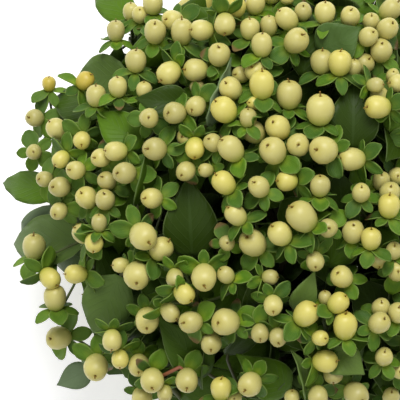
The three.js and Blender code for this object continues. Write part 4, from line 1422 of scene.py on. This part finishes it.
def sepal_skin():
    """A sepal: yellow-green at its foot, mid green with fine veins and a pale margin, some flushed red,
    and lighter by painted light where it stands free of the head.
    """
    material, tree, shader = new_skin("sepal skin")
    along, across = place_on_sheet(tree)
    tint, shade = read(tree, "tint"), read(tree, "shade")
    off = off_middle(tree, across)
    green = ramp(tree, reckon(tree, "MULTIPLY_ADD", off, 0.45, along), SEPAL_GREENS)
    # Lighter by the tint: random tone, and painted light on the sepals that stand free.
    tinted = mix(tree, times(tree, tint, 0.5), green, SEPAL_COLOURS.light)
    shaded = mix(tree, times(tree, shade, 0.8), tinted, SEPAL_COLOURS.dark)
    lines = reckon(tree, "MULTIPLY_ADD", reckon(tree, "SINE", times(tree, across, 75.0)), 0.5, 0.5)
    veined = mix(tree, times(tree, lines, 0.16), shaded, SEPAL_COLOURS.veins)
    margin = times(tree, reckon(tree, "GREATER_THAN", off, 0.46), 0.5)
    edged = mix(tree, margin, veined, SEPAL_COLOURS.margin)
    is_flushed = reckon(tree, "GREATER_THAN", times(tree, tint, shade), 0.6)
    is_shaded = reckon(tree, "LESS_THAN", tint, 1.0)
    at_tip = reckon(tree, "MULTIPLY_ADD", along, 4.0, -2.8)
    flush = times(tree, at_tip, times(tree, is_flushed, is_shaded))
    flush = reckon(tree, "MINIMUM", reckon(tree, "MAXIMUM", flush, 0.0), 0.6)
    tree.links.new(mix(tree, flush, edged, SEPAL_COLOURS.flush), shader.inputs["Base Color"])
    set_inputs(shader, {
        "Roughness": 0.5,
        "Specular IOR Level": 0.15,
        "Subsurface Weight": 0.2,
        "Subsurface Radius": (1, 1, 0.3),
        "Subsurface Scale": 0.001,
    })
    bump(tree, shader, lines, distance=0.0002, strength=0.3)
    return material


def bark():
    """Young stalks are green and older wood is brown. Only the twig that the photograph shows is red."""
    material, tree, shader = new_skin("bark")
    cloud = reckon(tree, "MULTIPLY_ADD", noise(tree, scale=60), 0.15, -0.075)
    age = reckon(tree, "MULTIPLY_ADD", read(tree, "age"), 0.5, cloud)
    streaks = noise(tree, scale=700, detail=2, stretch=(1, 0.12, 1))
    colour = mix(tree, times(tree, streaks, 0.5), ramp(tree, age, BARK_AGES), BARK_STREAKS)
    tree.links.new(colour, shader.inputs["Base Color"])
    set_inputs(shader, {"Roughness": 0.6})
    bump(tree, shader, streaks, distance=0.0003, strength=0.4)
    return material


def plain_skin(name, light, dark, roughness):
    """A clouded colour, for the cut ends and the elastic band."""
    material, tree, shader = new_skin(name)
    cloud = noise(tree, scale=400)
    tree.links.new(mix(tree, cloud, light, dark), shader.inputs["Base Color"])
    set_inputs(shader, {"Roughness": roughness})
    bump(tree, shader, cloud, distance=0.0002, strength=0.3)
    return material


SKINS = Values(
    berry=berry_skin(),
    sepal=sepal_skin(),
    leaf=leaf_skin("leaf upper side", UPPER_GREENS, UPPER_VEINS, vein_share=0.12, roughness=0.45),
    leaf_under=leaf_skin("leaf underside", UNDER_GREENS, UNDER_VEINS, vein_share=0.4, roughness=0.6),
    bark=bark(),
    cut=plain_skin("cut wood", CUT_WOOD.light, CUT_WOOD.dark, roughness=0.7),
    elastic=plain_skin("elastic", ELASTIC.light, ELASTIC.dark, roughness=0.55),
)


def join_piece(parts, name, slot, *materials):
    """Joins copies into one piece that goes with the bunch."""
    select_only(*parts)
    bpy.ops.object.join()
    piece = parts[0]
    piece.name = name
    piece.data.name = name
    piece.data.materials.clear()
    for material in materials:
        piece.data.materials.append(material)
    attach(piece, "root")
    return piece


def thicken(piece, thickness, under=0):
    """Gives a sheet its thickness, on both sides of it, and its underside another of its materials."""
    solid = piece.modifiers.new("thickness", "SOLIDIFY")
    solid.thickness = thickness * MM
    solid.offset = 0
    solid.material_offset = under
    select_only(piece)
    bpy.ops.object.modifier_apply(modifier=solid.name)


def colour_cut_end(piece):
    """Gives the end faces of the stem, which look back along the bunch, the look of cut wood."""
    for face in piece.data.polygons:
        if len(face.vertices) > 4 and face.center.y < cad_low.y + STEM.cut_zone * MM:
            face.material_index = 1


# The copies, sorted by the stem that they belong to. Fruits and leaves keep their numbers.
wood = [[grow_stem(stem)] for stem in stems]
berries, calyces, blades = ([[] for _ in stems] for _ in range(3))
index = 0
for sprig in sprigs:
    wood[sprig.stem].append(grow_branch(sprig))
    for k, fruit in enumerate(sprig.fruits):
        spin = FULL_TURN * chance(index, 7)
        berries[sprig.stem].append(grow_berry(fruit, index, spin))
        calyces[sprig.stem].append(grow_calyx(fruit, index, spin))
        wood[sprig.stem].append(grow_stalk(fruit, sprig, k))
        index += 1
for index, leaf in enumerate(leaves):
    blade, twig = grow_leaf(leaf, index)
    blades[leaf.stem].append(blade)
    if twig is not None:
        wood[leaf.stem].append(twig)
twig_stem, twig = grow_seen_twig(seen)
wood[twig_stem].append(twig)

for stem, node in zip(stems, STEM_NODES):
    made = [join_piece(wood[stem.index], f"{node}_wood", "wood", SKINS.bark, SKINS.cut)]
    colour_cut_end(made[0])
    if berries[stem.index]:
        made.append(join_piece(berries[stem.index], f"{node}_berries", "berry", SKINS.berry))
        sepals = join_piece(calyces[stem.index], f"{node}_sepals", "sepal", SKINS.sepal)
        thicken(sepals, SEPAL.thick)
        made.append(sepals)
    if blades[stem.index]:
        foliage = join_piece(blades[stem.index], f"{node}_leaves", "leaf", SKINS.leaf, SKINS.leaf_under)
        thicken(foliage, LEAF.seen_thick, under=1)
        made.append(foliage)
    for piece in made:
        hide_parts(node)


def model_band():
    """The elastic band, in three turns side by side round the stems."""
    turns = []
    way = (middle_line(STEM.tie_y) - middle_line(STEM.cut_y)).normalized()
    for k in (-1, 0, 1):
        bpy.ops.object.select_all(action="DESELECT")
        bpy.ops.mesh.primitive_torus_add(
            major_segments=BAND.segments,
            minor_segments=BAND.sides,
            major_radius=(BAND.inside + BAND.outside) / 2 * MM,
            minor_radius=(BAND.outside - BAND.inside) / 2 * MM,
        )
        turn = bpy.context.object
        turn.rotation_mode = "QUATERNION"
        turn.rotation_quaternion = Vector((BAND.aslant * k, way.y, way.z)).to_track_quat("Z", "Y")
        turn.location = (middle_line(STEM.tie_y) + SHIFT + way * (BAND.apart * k)) * MM
        bpy.ops.object.transform_apply(location=True, rotation=True)
        bpy.ops.object.shade_smooth()
        turns.append(turn)
    return turns


band = join_piece(model_band(), "elastic_band", "elastic", SKINS.elastic)
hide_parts("band")


def lay_floor():
    """A plain pale table under the bunch, which glows a little like a sheet lit from all sides."""
    bpy.ops.object.select_all(action="DESELECT")
    bpy.ops.mesh.primitive_plane_add(size=FLOOR.size)
    floor = bpy.context.object
    floor.name = "table"
    material, _, shader = new_skin("table")
    set_inputs(shader, {
        "Base Color": (1, 1, 1, 1),
        "Roughness": FLOOR.roughness,
        "Emission Color": (1, 1, 1, 1),
        "Emission Strength": FLOOR.glow,
    })
    floor.data.materials.append(material)


def hang_light(name, place, size, power):
    """A soft square light that looks at the head of the bunch."""
    light = bpy.data.lights.new(name, "AREA")
    light.size = size
    light.energy = power
    lamp = bpy.data.objects.new(name, light)
    lamp.location = place
    target = (Vector((HEAD.x, HEAD.y, HEAD.z)) + SHIFT) * MM
    lamp.rotation_euler = (target - Vector(place)).to_track_quat("-Z", "Y").to_euler()
    bpy.context.collection.objects.link(lamp)


def fill_with_light():
    """Even white light from everywhere."""
    world = bpy.data.worlds.new("studio")
    world.use_nodes = True
    set_inputs(world.node_tree.nodes["Background"], {"Color": (1, 1, 1, 1), "Strength": ALL_ROUND_LIGHT})
    bpy.context.scene.world = world


def set_camera():
    """The photograph's view, straight down on the heads, with the bunch's length up the picture."""
    camera = bpy.data.cameras.new("camera")
    half_view = PHOTO.middle / PHOTO.pixels_per_mm / (PHOTO.eye_height - PHOTO.scale_level)
    camera.lens = camera.sensor_width / 2 / half_view
    eye = bpy.data.objects.new("camera", camera)
    eye.location = (Vector((0, 0, PHOTO.eye_height)) + SHIFT) * MM
    bpy.context.collection.objects.link(eye)
    bpy.context.scene.camera = eye


lay_floor()
for light in LIGHTS:
    hang_light(*light)
fill_with_light()
set_camera()
bpy.context.scene.view_settings.view_transform = "Standard"
